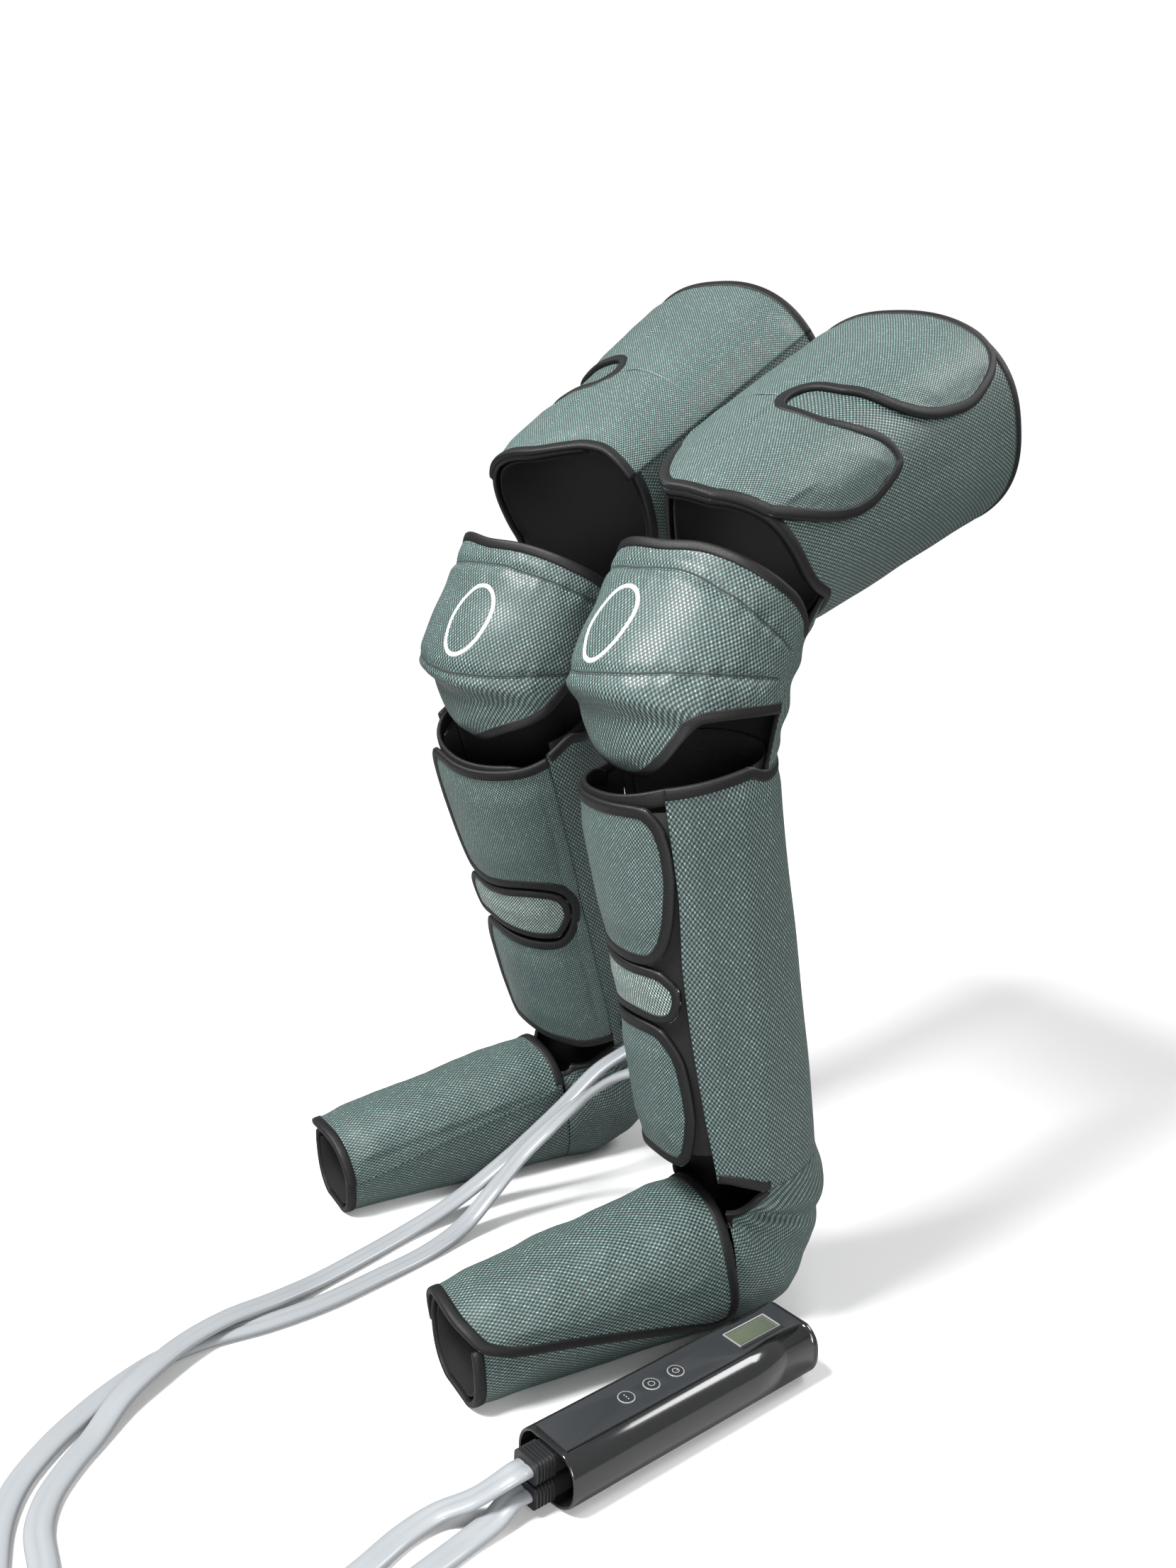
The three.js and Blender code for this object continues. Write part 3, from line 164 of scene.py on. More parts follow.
# Places that each hose passes, in millimetres from the plug to the port
RIGHT_HOSE_ROUTE = [
    (241, -368, 18), (228, -388, 8), (228, -415, 4.5), (238, -452, 4.5), (248, -500, 4.5),
    (248, -545, 4.5), (235, -590, 4.5), (205, -620, 4.5), (160, -628, 4.5), (116, -615, 4.5),
    (80, -606, 4.5), (56, -592, 4.5), (34, -570, 4.5), (15, -545, 5.5), (-8, -515, 11),
    (-23, -487, 14), (-40, -450, 14.5), (-50, -410, 14), (-56, -365, 10), (-66, -320, 5),
    (-76, -270, 4.5), (-88, -215, 5), (-92, -165, 14), (-90, -120, 34), (-80, -85, 62),
    (-70, -50, 92), (-62, -15, 122),
]
LEFT_HOSE_ROUTE = [
    (256, -362, 8), (258, -385, 4.5), (264, -420, 4.5), (272, -470, 4.5), (276, -530, 4.5),
    (266, -590, 4.5), (236, -638, 4.5), (185, -658, 4.5), (130, -650, 4.5), (90, -638, 4.5),
    (58, -624, 4.5), (30, -604, 4.5), (5, -575, 4.5), (-14, -545, 4.5), (-32, -508, 4.5),
    (-44, -470, 4.5), (-46, -430, 4.5), (-38, -380, 4.5), (-36, -330, 4.5), (-42, -270, 4.5),
    (-50, -215, 4.5), (-58, -172, 12), (-60, -140, 34), (-55, -110, 64), (-48, -82, 88),
    (-36, -62, 110), (-16, -52, 132), (6, -46, 150), (30, -38, 163), (50, -30, 168),
]
HOSE_ROUTES = {
    "right": ("upper_plug", RIGHT_HOSE_ROUTE),
    "left": ("lower_plug", LEFT_HOSE_ROUTE),
}
HOSE_LEAD = 22
HOSE_SIDES = 32
HOSE_POWER = 2.6
PORT_ANGLE = -105
PORT_SHARE = 0.06
PORT_RADIUS = 14
PORT_THICKNESS = 6


def mix(a, b, share):
    return a + (b - a) * share


def ease(low, high, value):
    """Smooth step from 0 at low to 1 at high, whichever is the larger."""
    share = min(max((value - low) / (high - low), 0.0), 1.0)
    return share * share * (3 - 2 * share)


class EdgeCurve:
    """A smooth curve through [angle, share] rows that never overshoots them."""

    def __init__(self, rows):
        self.places = [row[0] for row in rows]
        self.values = [row[1] for row in rows]
        steps = [
            (self.values[i + 1] - self.values[i]) / (self.places[i + 1] - self.places[i])
            for i in range(len(rows) - 1)
        ]
        self.slopes = [steps[0]]
        for before, after in zip(steps, steps[1:]):
            turns = before * after <= 0
            self.slopes.append(0.0 if turns else 2 * before * after / (before + after))
        self.slopes.append(steps[-1])

    def __call__(self, place):
        if place <= self.places[0]:
            return self.values[0]
        if place >= self.places[-1]:
            return self.values[-1]
        i = max(k for k in range(len(self.places) - 1) if self.places[k] <= place)
        span = self.places[i + 1] - self.places[i]
        t = (place - self.places[i]) / span
        return (
            (2 * t ** 3 - 3 * t ** 2 + 1) * self.values[i]
            + (t ** 3 - 2 * t ** 2 + t) * span * self.slopes[i]
            + (3 * t ** 2 - 2 * t ** 3) * self.values[i + 1]
            + (t ** 3 - t ** 2) * span * self.slopes[i + 1]
        )


def straight_reading(rows, place):
    """Straight-line reading of [place, value] rows."""
    if place <= rows[0][0]:
        return rows[0][1]
    for before, after in zip(rows, rows[1:]):
        if place <= after[0]:
            return mix(before[1], after[1], (place - before[0]) / (after[0] - before[0]))
    return rows[-1][1]


def rounded_ring(angle, power):
    """Superellipse point at an angle in degrees, as (across, along) for half sizes of one."""
    c = math.cos(math.radians(angle))
    s = math.sin(math.radians(angle))
    reach = (abs(c) ** power + abs(s) ** power) ** (-1 / power)
    return s * reach, c * reach


HEEL_REACH_SHARES = [
    [0, 1], [0.15, 1.015], [0.3, 1.02], [0.4, 1.02], [0.5, 1.04], [0.58, 1.07], [0.66, 1.065],
    [0.8, 1], [0.9, 0.95], [1, 0.915],
]
KNEE_REACH = EdgeCurve([
    [0, 0.734], [0.08, 0.866], [0.2, 0.943], [0.264, 1.07], [0.4, 1.015],
    [0.527, 0.952], [0.6, 0.945], [0.8, 1], [1, 1.07],
])


class Leg:
    """The sleeve surfaces of one leg. Each gives a place in metres for an angle in degrees from
    the front towards the outer side, a share of the length, and an offset in millimetres."""

    def __init__(self, name, pose):
        self.name = name
        self.side = pose["side"]
        self.hem_share = pose["hem_share"]
        self.heel_place = Vector((*pose["heel"], 0))
        self.turn = Matrix.Rotation(math.radians(pose["foot_turn"]), 3, "Z")
        shin = (
            Matrix.Rotation(math.radians(pose["shin_tilt"]), 3, "Y")
            @ Matrix.Rotation(math.radians(pose["shin_lean"]), 3, "X")
        )
        self.shin_up = shin @ Vector((0, 0, 1))
        self.shin_front = shin @ Vector((0, -1, 0))
        self.shin_across = shin @ Vector((1, 0, 0))
        self.ankle = Vector((0, -pose["ankle_reach"], ANKLE_HEIGHT))
        self.calf_end = self.ankle + self.shin_up * CALF_LENGTH
        knee_middle = self.ankle + self.shin_up * (CALF_LENGTH + KNEE_RISE)
        thigh = (
            Matrix.Rotation(math.radians(pose["thigh_turn"]), 3, "Z")
            @ Matrix.Rotation(math.radians(pose["thigh_rise"]), 3, "X")
        )
        self.thigh_out = thigh @ Vector((0, 1, 0))
        self.thigh_across = thigh @ Vector((1, 0, 0))
        self.thigh_front = thigh @ Vector((0, 0, 1))
        self.thigh_lower = knee_middle + self.thigh_out * THIGH_START
        self.notch = self.ankle + self.shin_front * CALF_DEPTHS[0]
        self.heel_end = (FOOT_BOTTOM[0] - FOOT_TOP[0]).normalized()
        self.heel_sweep = (-self.shin_front).angle(self.heel_end)
        self.knee_sweep = self.shin_front.angle(self.thigh_front)
        self.calf_back = self.calf_end - self.shin_front * CALF_DEPTHS[1]
        self.thigh_back = self.thigh_lower - self.thigh_front * THIGH_DEPTHS[0]

    def world(self, point):
        placed = Vector((point.x * self.side, point.y, point.z))
        return (self.turn @ placed + self.heel_place + ORIGIN_SHIFT) * MM

    def calf(self, angle, share, offset):
        across, along = rounded_ring(angle, CALF_POWER)
        return self.world(
            self.ankle + self.shin_up * (CALF_LENGTH * share)
            + self.shin_across * (across * (mix(*CALF_WIDTHS, share) + offset))
            + self.shin_front * (along * (mix(*CALF_DEPTHS, share) + offset))
        )

    def thigh(self, angle, share, offset):
        across, along = rounded_ring(angle, THIGH_POWER)
        upper = THIGH_OUTER_WIDTH if across > 0 else THIGH_INNER_WIDTH
        return self.world(
            self.thigh_lower + self.thigh_out * (THIGH_LENGTH * share)
            + self.thigh_across * (across * (mix(THIGH_LOWER_WIDTH, upper, share) + offset))
            + self.thigh_front * (along * (mix(*THIGH_DEPTHS, share) + offset))
        )

    def foot(self, angle, share, offset):
        top = FOOT_TOP[0].lerp(FOOT_TOP[1], share)
        bottom = FOOT_BOTTOM[0].lerp(FOOT_BOTTOM[1], share)
        middle = (top + bottom) / 2
        rise = top - middle
        across, along = rounded_ring(angle, FOOT_POWER)
        point = middle + rise.normalized() * (along * (rise.length + offset))
        point.x = across * (mix(*FOOT_WIDTHS, share) + offset - FABRIC)
        point.z = max(point.z, FABRIC - offset)
        return self.world(point)

    def heel(self, angle, share, offset):
        near = self.notch.lerp(FOOT_TOP[0], share)
        away = (
            -self.shin_front * math.sin((1 - share) * self.heel_sweep)
            + self.heel_end * math.sin(share * self.heel_sweep)
        ).normalized()
        across_way = self.shin_across.lerp(Vector((1, 0, 0)), share).normalized()
        end_reach = (FOOT_BOTTOM[0] - FOOT_TOP[0]).length
        end_scale = end_reach / (2 * CALF_DEPTHS[0] * HEEL_REACH_SHARES[-1][1])
        reach = straight_reading(HEEL_REACH_SHARES, share)
        half = CALF_DEPTHS[0] * reach * mix(1, end_scale, share)
        if share < 0.5:
            width = mix(CALF_WIDTHS[0], HEEL_WIDTH, share * 2)
        else:
            width = mix(HEEL_WIDTH, FOOT_WIDTHS[0] - FABRIC, share * 2 - 1)
        across, along = rounded_ring(angle, mix(CALF_POWER, FOOT_POWER, share))
        point = (
            near + away * (half + along * (half + offset))
            + across_way * (across * (width + offset))
        )
        point.z = max(point.z, FABRIC - offset)
        return self.world(point)

    def knee(self, angle, share, offset):
        near = self.calf_back.lerp(self.thigh_back, share)
        away = (
            self.shin_front * math.sin((1 - share) * self.knee_sweep)
            + self.thigh_front * math.sin(share * self.knee_sweep)
        ).normalized()
        across_way = self.shin_across.lerp(self.thigh_across, share).normalized()
        reach = KNEE_DEPTH * KNEE_REACH(share)
        across, along = rounded_ring(angle, mix(CALF_POWER, THIGH_POWER, share))
        back_half = mix(CALF_DEPTHS[1], THIGH_DEPTHS[0], share)
        front_half = reach - back_half if along > 0 else back_half
        straight = mix(CALF_WIDTHS[1], THIGH_LOWER_WIDTH, share)
        width = mix(straight, KNEE_WIDTH, math.sin(math.pi * share))
        return self.world(
            near + away * (back_half + along * (front_half + offset))
            + across_way * (across * (width + offset))
        )


# Edges of the panels, as shares of the length at angles from the front
CALF_ROOT = -84
CALF_SLIT_END = -77
CALF_FLAP_END = 49.4
CALF_LOWER_END = 40.6
CALF_BODY_EDGE = 50.2
STRAP_START = -75
STRAP_END = 42.6
CALF_WRAP_TOP = EdgeCurve([
    [105, 1.025], [120, 0.999], [240, 0.999], [255, 1.02], [265, 1.01], [276, 0.992],
])
CALF_WRAP_START = EdgeCurve([
    [0.0, CALF_BODY_EDGE], [0.1, 49], [0.25, 47], [0.45, 45.8], [0.6, 46.4], [0.7, 48.6],
    [0.8, CALF_BODY_EDGE], [1.03, CALF_BODY_EDGE],
])
CALF_WRAP_LOW = EdgeCurve([[54, 0.052], [68, 0.026], [74, 0.014], [80, 0.001], [276, 0.001]])
CALF_NOTCH_END = 84
CALF_FRONT_REACH = (56, -70)
CALF_FRONT_TOP = EdgeCurve([[-70, 0.965], [-56, 0.988], [20, 1.006], [CALF_BODY_EDGE, 1.022]])
CALF_FLAP_TOP = EdgeCurve([
    [CALF_ROOT, 0.985], [-66, 0.978], [-50, 0.982], [25, 0.989], [37, 0.985], [42, 0.968],
    [47, 0.935], [CALF_FLAP_END, 0.88],
])
CALF_UPPER_LOW = EdgeCurve([
    [CALF_SLIT_END, 0.525], [-73, 0.57], [-62, 0.6], [-43, 0.617], [0, 0.608], [25, 0.612],
    [33, 0.628], [39, 0.66], [44, 0.71], [47, 0.76], [CALF_FLAP_END, 0.82],
])
CALF_LOWER_HIGH = EdgeCurve([
    [CALF_SLIT_END, 0.525], [-73, 0.47], [-61, 0.425], [-32, 0.44], [0, 0.456], [15, 0.458],
    [25, 0.45], [33, 0.416], [39, 0.364], [CALF_LOWER_END, 0.29],
])
CALF_LOWER_LOW = EdgeCurve([
    [CALF_ROOT, 0.024], [-60, 0.036], [-40, 0.066], [0, 0.093], [24, 0.088], [31, 0.106],
    [36, 0.147], [CALF_LOWER_END, 0.22],
])
STRAP_LOW = EdgeCurve([
    [STRAP_START, 0.495], [-70, 0.468], [-61, 0.438], [-48, 0.444], [-27, 0.46], [11, 0.473],
    [26, 0.468], [34, 0.474], [39, 0.49], [STRAP_END, 0.524],
])
STRAP_HIGH = EdgeCurve([
    [STRAP_START, 0.545], [-70, 0.572], [-61, 0.592], [-43, 0.607], [0, 0.601], [20, 0.602],
    [30, 0.598], [38, 0.578], [STRAP_END, 0.555],
])
DRAWN_IN_FROM = -30
DRAWN_IN_SHARE = 0.74
STAND_OFF_RADIUS = 62
THIGH_ROOT = -62
THIGH_BODY_EDGE = -30
THIGH_SLIT_END = 3.4
RIGHT_SLIT_RISE = 0.11
THIGH_UPPER_END = 66.5
THIGH_LOWER_END = 82
THIGH_HEM = EdgeCurve([
    [-30, 0.055], [2, 0.045], [105, 0.04], [120, 0.001], [240, 0.001], [255, 0.055], [300, 0.085],
])
THIGH_DIP = EdgeCurve([
    [-40, 0], [-30, -0.08], [-20, -0.2], [-8, -0.3], [2, -0.335], [18, -0.335], [28, -0.33],
    [37, -0.3], [47, -0.265], [56, -0.235], [67, -0.21], [82, -0.18], [105, -0.125], [120, 0],
])
THIGH_FLAP_TOP = EdgeCurve([
    [THIGH_ROOT, 0.985], [39, 0.985], [48, 0.975], [54, 0.955], [60, 0.899], [64, 0.829],
    [THIGH_UPPER_END, 0.77],
])
THIGH_UPPER_LOW = EdgeCurve([
    [THIGH_SLIT_END, 0.303], [6, 0.35], [11, 0.376], [23, 0.385], [30, 0.408], [43, 0.438],
    [51.5, 0.479], [59, 0.544], [64, 0.631], [THIGH_UPPER_END, 0.72],
])
THIGH_LOWER_HIGH = EdgeCurve([
    [THIGH_SLIT_END, 0.303], [6, 0.255], [10, 0.235], [27, 0.223], [41, 0.271], [50.5, 0.323],
    [59, 0.357], [67, 0.369], [71, 0.365], [78, 0.28], [THIGH_LOWER_END, 0.2],
])
THIGH_LOWER_LOW = 0.13
THIGH_CORNER_START = 56
THIGH_CORNER = EdgeCurve([
    [THIGH_CORNER_START, 0], [66, 0.288], [74, 0.556], [79, 0.778], [THIGH_LOWER_END, 1],
])
HEEL_EDGE = 131
HEEL_SLOPE_START = 98
HEEL_SLOPE_TOP = 0.48
HEEL_OPENING = EdgeCurve([
    [HEEL_SLOPE_START, 0], [106, 0.05], [114, 0.15], [122, 0.3], [HEEL_EDGE, HEEL_SLOPE_TOP],
])
FOOT_WRAP_START = 62
FOOT_WRAP_END = 315
FOOT_WRAP_REAR = EdgeCurve([[65, 0.008], [90, 0.003], [270, 0.003], [290, 0.01], [315, 0.01]])
FOOT_END_SHARE = 0.985
FOOT_ROOT = -90
FOOT_TAPE_START = -60
FOOT_FLAP_END = 128
FOOT_FLAP_FRONT = EdgeCurve([
    [FOOT_ROOT, 0.985], [20, 1.02], [60, 0.97], [78, 0.87], [92, 0.67], [108, 0.42], [122, 0.2],
    [FOOT_FLAP_END, 0.12],
])
FOOT_FLAP_REAR = EdgeCurve([
    [FOOT_ROOT, 0.93], [-75, 0.58], [-60, 0.01], [-15, 0.02], [60, 0.02], [110, 0.004],
    [122, 0.02], [FOOT_FLAP_END, 0.06],
])
KNEE_EDGE = 120
KNEE_SEAM_EDGE = 108
KNEE_BEND_START = 0.55
KNEE_HEM = EdgeCurve([
    [-KNEE_EDGE, 0.3], [-98, 0.29], [-90, 0.22], [-80, 0.165], [-67, 0.135], [-49, 0.107],
    [-25, 0.055], [0, 0.015], [20, 0.035], [32, 0.064], [42, 0.104], [49, 0.149], [56, 0.193],
    [63, 0.224], [74, 0.238], [88, 0.257], [KNEE_EDGE, 0.3],
])
KNEE_TOP = EdgeCurve([
    [-KNEE_EDGE, 0.775], [-90, 0.757], [-60, 0.725], [-30, 0.704], [0, 0.69], [24, 0.704],
    [52, 0.719], [79, 0.748], [95, 0.775], [108, 0.785], [KNEE_EDGE, 0.78],
])
KNEE_ARC_SEAM = {
    "left": EdgeCurve([
        [-100, 0.65], [-60, 0.625], [-26, 0.607], [-9.5, 0.604], [7, 0.609], [21, 0.61],
        [47, 0.599], [82, 0.59], [112, 0.588],
    ]),
    "right": EdgeCurve([
        [-112, 0.69], [-85, 0.651], [-61, 0.634], [-40, 0.623], [-19, 0.618], [0, 0.608],
        [21, 0.598], [60, 0.6], [112, 0.6],
    ]),
}
KNEE_LEVEL_SEAM = {
    "left": EdgeCurve([
        [-112, 0.36], [-70, 0.31], [-23, 0.292], [6, 0.304], [28, 0.32], [45, 0.344],
        [62.5, 0.368], [83, 0.399], [112, 0.456],
    ]),
    "right": EdgeCurve([
        [-112, 0.36], [-96, 0.339], [-71, 0.318], [-50, 0.298], [-28, 0.283], [-9.5, 0.274],
        [17, 0.275], [60, 0.3], [112, 0.34],
    ]),
}
KNEE_MARK_PLACES = {"left": (-7, 0.436), "right": (-15, 0.437)}
KNEE_MARK_HALF_SIZES = (19, 27)
KNEE_MARK_LINE = 1.7


def length_setting(name, description, default):
    return bpy.props.FloatProperty(
        name=name, description=description, default=default, unit="LENGTH")


def colour_setting(name, description, default):
    return bpy.props.FloatVectorProperty(
        name=name, description=description, default=default, subtype="COLOR", size=3)


class WrapSizes(bpy.types.PropertyGroup):
    """Sizes of the fabric details"""

    tape_width: length_setting(
        "Tape width", "Width of the binding tape along the edges", 0.0085)
    tape_thickness: length_setting(
        "Tape thickness", "How far the binding tape stands off the fabric", 0.0012)
    weave_pitch: length_setting(
        "Mesh pitch", "Distance between the holes of the mesh fabric", 0.0034)
    fold_depth: length_setting("Fold depth", "Depth of the folds at the ankle and knee", 0.0028)
    hose_width: length_setting("Hose width", "Width of each flat air hose", 0.019)
    hose_thickness: length_setting("Hose thickness", "Thickness of each flat air hose", 0.008)


class WrapColours(bpy.types.PropertyGroup):
    """Colours of the fabrics, hoses and handset"""

    mesh: colour_setting("Mesh fabric", "Colour of the mesh fabric's yarn", (0.051, 0.083, 0.078))
    pale_mesh: colour_setting(
        "Pale mesh", "Colour of the middle strap's yarn", (0.15, 0.195, 0.182))
    tape: colour_setting("Tape", "Colour of the binding tape", (0.0042, 0.0042, 0.0046))
    lining: colour_setting("Lining", "Colour of the inner lining", (0.003, 0.003, 0.003))
    hose: colour_setting("Hose", "Colour of the air hoses", (0.28, 0.295, 0.31))
    shell: colour_setting("Shell", "Colour of the handset's gloss shell", (0.011, 0.0115, 0.012))
    panel: colour_setting(
        "Top panel", "Colour of the handset's matt top panel", (0.022, 0.024, 0.026))
    mark: colour_setting(
        "Mark", "Colour of the embroidered mark and button symbols", (0.85, 0.86, 0.86))
    floor: colour_setting("Floor", "Colour of the floor", (0.9, 0.9, 0.9))


def new_group(name, inputs, outputs):
    """A shader node group with named sockets. Inputs are (name, socket type, default)."""
    group = bpy.data.node_groups.new(name, "ShaderNodeTree")
    for label, kind, default in inputs:
        socket = group.interface.new_socket(name=label, in_out="INPUT", socket_type=kind)
        if default is not None:
            socket.default_value = default
    for label, kind in outputs:
        group.interface.new_socket(name=label, in_out="OUTPUT", socket_type=kind)
    return group, group.nodes.new("NodeGroupInput"), group.nodes.new("NodeGroupOutput")


def feed(tree, slot, term):
    """Links a socket to a slot, or sets the slot to a number or a colour."""
    if isinstance(term, bpy.types.NodeSocket):
        tree.links.new(term, slot)
    elif isinstance(term, tuple):
        slot.default_value = (*term, 1.0)
    else:
        slot.default_value = term


def add_math(tree, operation, *terms):
    """A Math node. Each term is a socket or a number."""
    node = tree.nodes.new("ShaderNodeMath")
    node.operation = operation
    for slot, term in zip(node.inputs, terms):
        feed(tree, slot, term)
    return node.outputs[0]


def add_range(tree, value, low, high, to_low=0.0, to_high=1.0):
    node = tree.nodes.new("ShaderNodeMapRange")
    node.interpolation_type = "SMOOTHSTEP"
    for label, term in (
        ("Value", value), ("From Min", low), ("From Max", high), ("To Min", to_low),
        ("To Max", to_high),
    ):
        feed(tree, node.inputs[label], term)
    return node.outputs["Result"]


def add_colour_mix(tree, share, first, second, blend="MIX"):
    """A colour mix. Each term is a socket, a number or a colour."""
    node = tree.nodes.new("ShaderNodeMix")
    node.data_type = "RGBA"
    node.blend_type = blend
    for slot, term in (
        (node.inputs["Factor"], share), (node.inputs[6], first), (node.inputs[7], second),
    ):
        feed(tree, slot, term)
    return node.outputs[2]


def weave_group():
    """Staggered holes and raised threads of mesh fabric, from places along and across it."""
    group, given, out = new_group(
        "Mesh weave",
        [("Place", "NodeSocketVector", None), ("Pitch", "NodeSocketFloat", 0.0034),
         ("Stretch", "NodeSocketFloat", 1.45)],
        [("Holes", "NodeSocketFloat"), ("Threads", "NodeSocketFloat"),
         ("Height", "NodeSocketFloat")],
    )
    parts = group.nodes.new("ShaderNodeSeparateXYZ")
    group.links.new(given.outputs["Place"], parts.inputs[0])
    turns = add_math(group, "DIVIDE", math.tau, given.outputs["Pitch"])
    across = add_math(group, "COSINE", add_math(group, "MULTIPLY", parts.outputs["X"], turns))
    along_turns = add_math(group, "DIVIDE", turns, given.outputs["Stretch"])
    along = add_math(group, "COSINE", add_math(group, "MULTIPLY", parts.outputs["Y"], along_turns))
    lattice = add_math(group, "MULTIPLY", across, along)
    holes = add_range(group, lattice, 0.08, 0.45)
    threads = add_range(group, lattice, -0.15, -0.6)
    group.links.new(holes, out.inputs["Holes"])
    group.links.new(threads, out.inputs["Threads"])
    group.links.new(add_math(group, "SUBTRACT", threads, holes), out.inputs["Height"])
    return group


def wear_group():
    """Slow and fine unevenness, for colour variation, scuffs and dust, and for spreading painted
    glints over mesh threads.
    """
    group, given, out = new_group(
        "Uneven wear",
        [("Place", "NodeSocketVector", None), ("Scale", "NodeSocketFloat", 12.0),
         ("Contrast", "NodeSocketFloat", 0.2)],
        [("Tone", "NodeSocketFloat"), ("Speckle", "NodeSocketFloat")],
    )
    slow = group.nodes.new("ShaderNodeTexNoise")
    slow.inputs["Detail"].default_value = 4.0
    group.links.new(given.outputs["Place"], slow.inputs["Vector"])
    group.links.new(given.outputs["Scale"], slow.inputs["Scale"])
    centred = add_math(group, "SUBTRACT", slow.outputs["Fac"], 0.5)
    spread = add_math(group, "MULTIPLY", centred, given.outputs["Contrast"])
    group.links.new(add_math(group, "ADD", spread, 1.0), out.inputs["Tone"])
    fine = group.nodes.new("ShaderNodeTexNoise")
    fine.inputs["Detail"].default_value = 2.0
    group.links.new(given.outputs["Place"], fine.inputs["Vector"])
    group.links.new(
        add_math(group, "MULTIPLY", given.outputs["Scale"], 40.0), fine.inputs["Scale"])
    group.links.new(add_range(group, fine.outputs["Fac"], 0.45, 0.7), out.inputs["Speckle"])
    return group


def stitch_group():
    """A dashed line of stitches at a share of a strip's width."""
    group, given, out = new_group(
        "Stitch line",
        [("Place", "NodeSocketVector", None), ("Line", "NodeSocketFloat", 0.85),
         ("Half Width", "NodeSocketFloat", 0.05), ("Pitch", "NodeSocketFloat", 0.003)],
        [("Stitches", "NodeSocketFloat"), ("Dent", "NodeSocketFloat")],
    )
    parts = group.nodes.new("ShaderNodeSeparateXYZ")
    group.links.new(given.outputs["Place"], parts.inputs[0])
    away = add_math(
        group, "ABSOLUTE", add_math(group, "SUBTRACT", parts.outputs["Y"], given.outputs["Line"]))
    near = add_math(group, "LESS_THAN", away, given.outputs["Half Width"])
    run = add_math(group, "DIVIDE", parts.outputs["X"], given.outputs["Pitch"])
    step = add_math(group, "FRACT", run)
    dash = add_math(group, "LESS_THAN", step, 0.62)
    group.links.new(add_math(group, "MULTIPLY", near, dash), out.inputs["Stitches"])
    group.links.new(near, out.inputs["Dent"])
    return group


class FinishMaker:
    """Starts a material and gives its nodes in plain steps."""

    def __init__(self, name, roughness=0.5, **constants):
        self.material = bpy.data.materials.new(name)
        self.material.use_nodes = True
        self.tree = self.material.node_tree
        self.shader = self.tree.nodes["Principled BSDF"]
        for label, value in {"Roughness": roughness, **constants}.items():
            self.shader.inputs[label.replace("_", " ")].default_value = value
        self.objects = self.tree.nodes.new("ShaderNodeTexCoord").outputs["Object"]
        self.pattern = self.tree.nodes.new("ShaderNodeUVMap").outputs["UV"]

    def effect(self, group, **values):
        node = self.tree.nodes.new("ShaderNodeGroup")
        node.node_tree = group
        for label, value in values.items():
            feed(self.tree, node.inputs[label.replace("_", " ")], value)
        return node.outputs

    def toned(self, colour, tone):
        """A colour made lighter or darker by a tone socket."""
        return add_colour_mix(self.tree, 1.0, colour, tone, "MULTIPLY")

    def finish(self, colour, height=None, strength=0.3, distance=0.001, roughness=None):
        feed(self.tree, self.shader.inputs["Base Color"], colour)
        if roughness is not None:
            feed(self.tree, self.shader.inputs["Roughness"], roughness)
        if height is not None:
            bump = self.tree.nodes.new("ShaderNodeBump")
            for label, term in (("Strength", strength), ("Distance", distance), ("Height", height)):
                feed(self.tree, bump.inputs[label], term)
            self.tree.links.new(bump.outputs["Normal"], self.shader.inputs["Normal"])
        return self.material


def colour_of(name):
    return tuple(getattr(bpy.context.scene.wrap_colours, name))


def scaled_colour(colour, factor):
    return tuple(min(channel * factor, 1.0) for channel in colour)


def mesh_finish(name, colour, pitch, turn=0.0):
    """Mesh fabric: dark staggered holes, raised threads with painted glints of lighter colour, and
    slow colour variation.
    """
    maker = FinishMaker(name, roughness=0.5, Specular_IOR_Level=0.75)
    turned = maker.tree.nodes.new("ShaderNodeMapping")
    turned.inputs["Rotation"].default_value = (0, 0, math.radians(turn))
    maker.tree.links.new(maker.pattern, turned.inputs["Vector"])
    weave = maker.effect(effects["weave"], Place=turned.outputs["Vector"], Pitch=pitch)
    wear = maker.effect(effects["wear"], Place=maker.objects, Scale=9.0, Contrast=0.7)
    yarn = maker.toned(colour, wear["Tone"])
    # Painted highlight: threads, spread by the speckle, are coloured over four times lighter as
    # painted glints.
    glint_spread = add_range(maker.tree, wear["Speckle"], 0.0, 1.0, 0.35, 1.0)
    painted_glints = add_math(maker.tree, "MULTIPLY", weave["Threads"], glint_spread)
    bright = add_colour_mix(maker.tree, painted_glints, yarn, scaled_colour(colour, 4.6))
    holed = add_colour_mix(maker.tree, weave["Holes"], bright, scaled_colour(colour, 0.05))
    rough = add_range(maker.tree, weave["Threads"], 0.0, 1.0, 0.56, 0.38)
    return maker.finish(holed, weave["Height"], strength=0.6, distance=0.0008, roughness=rough)


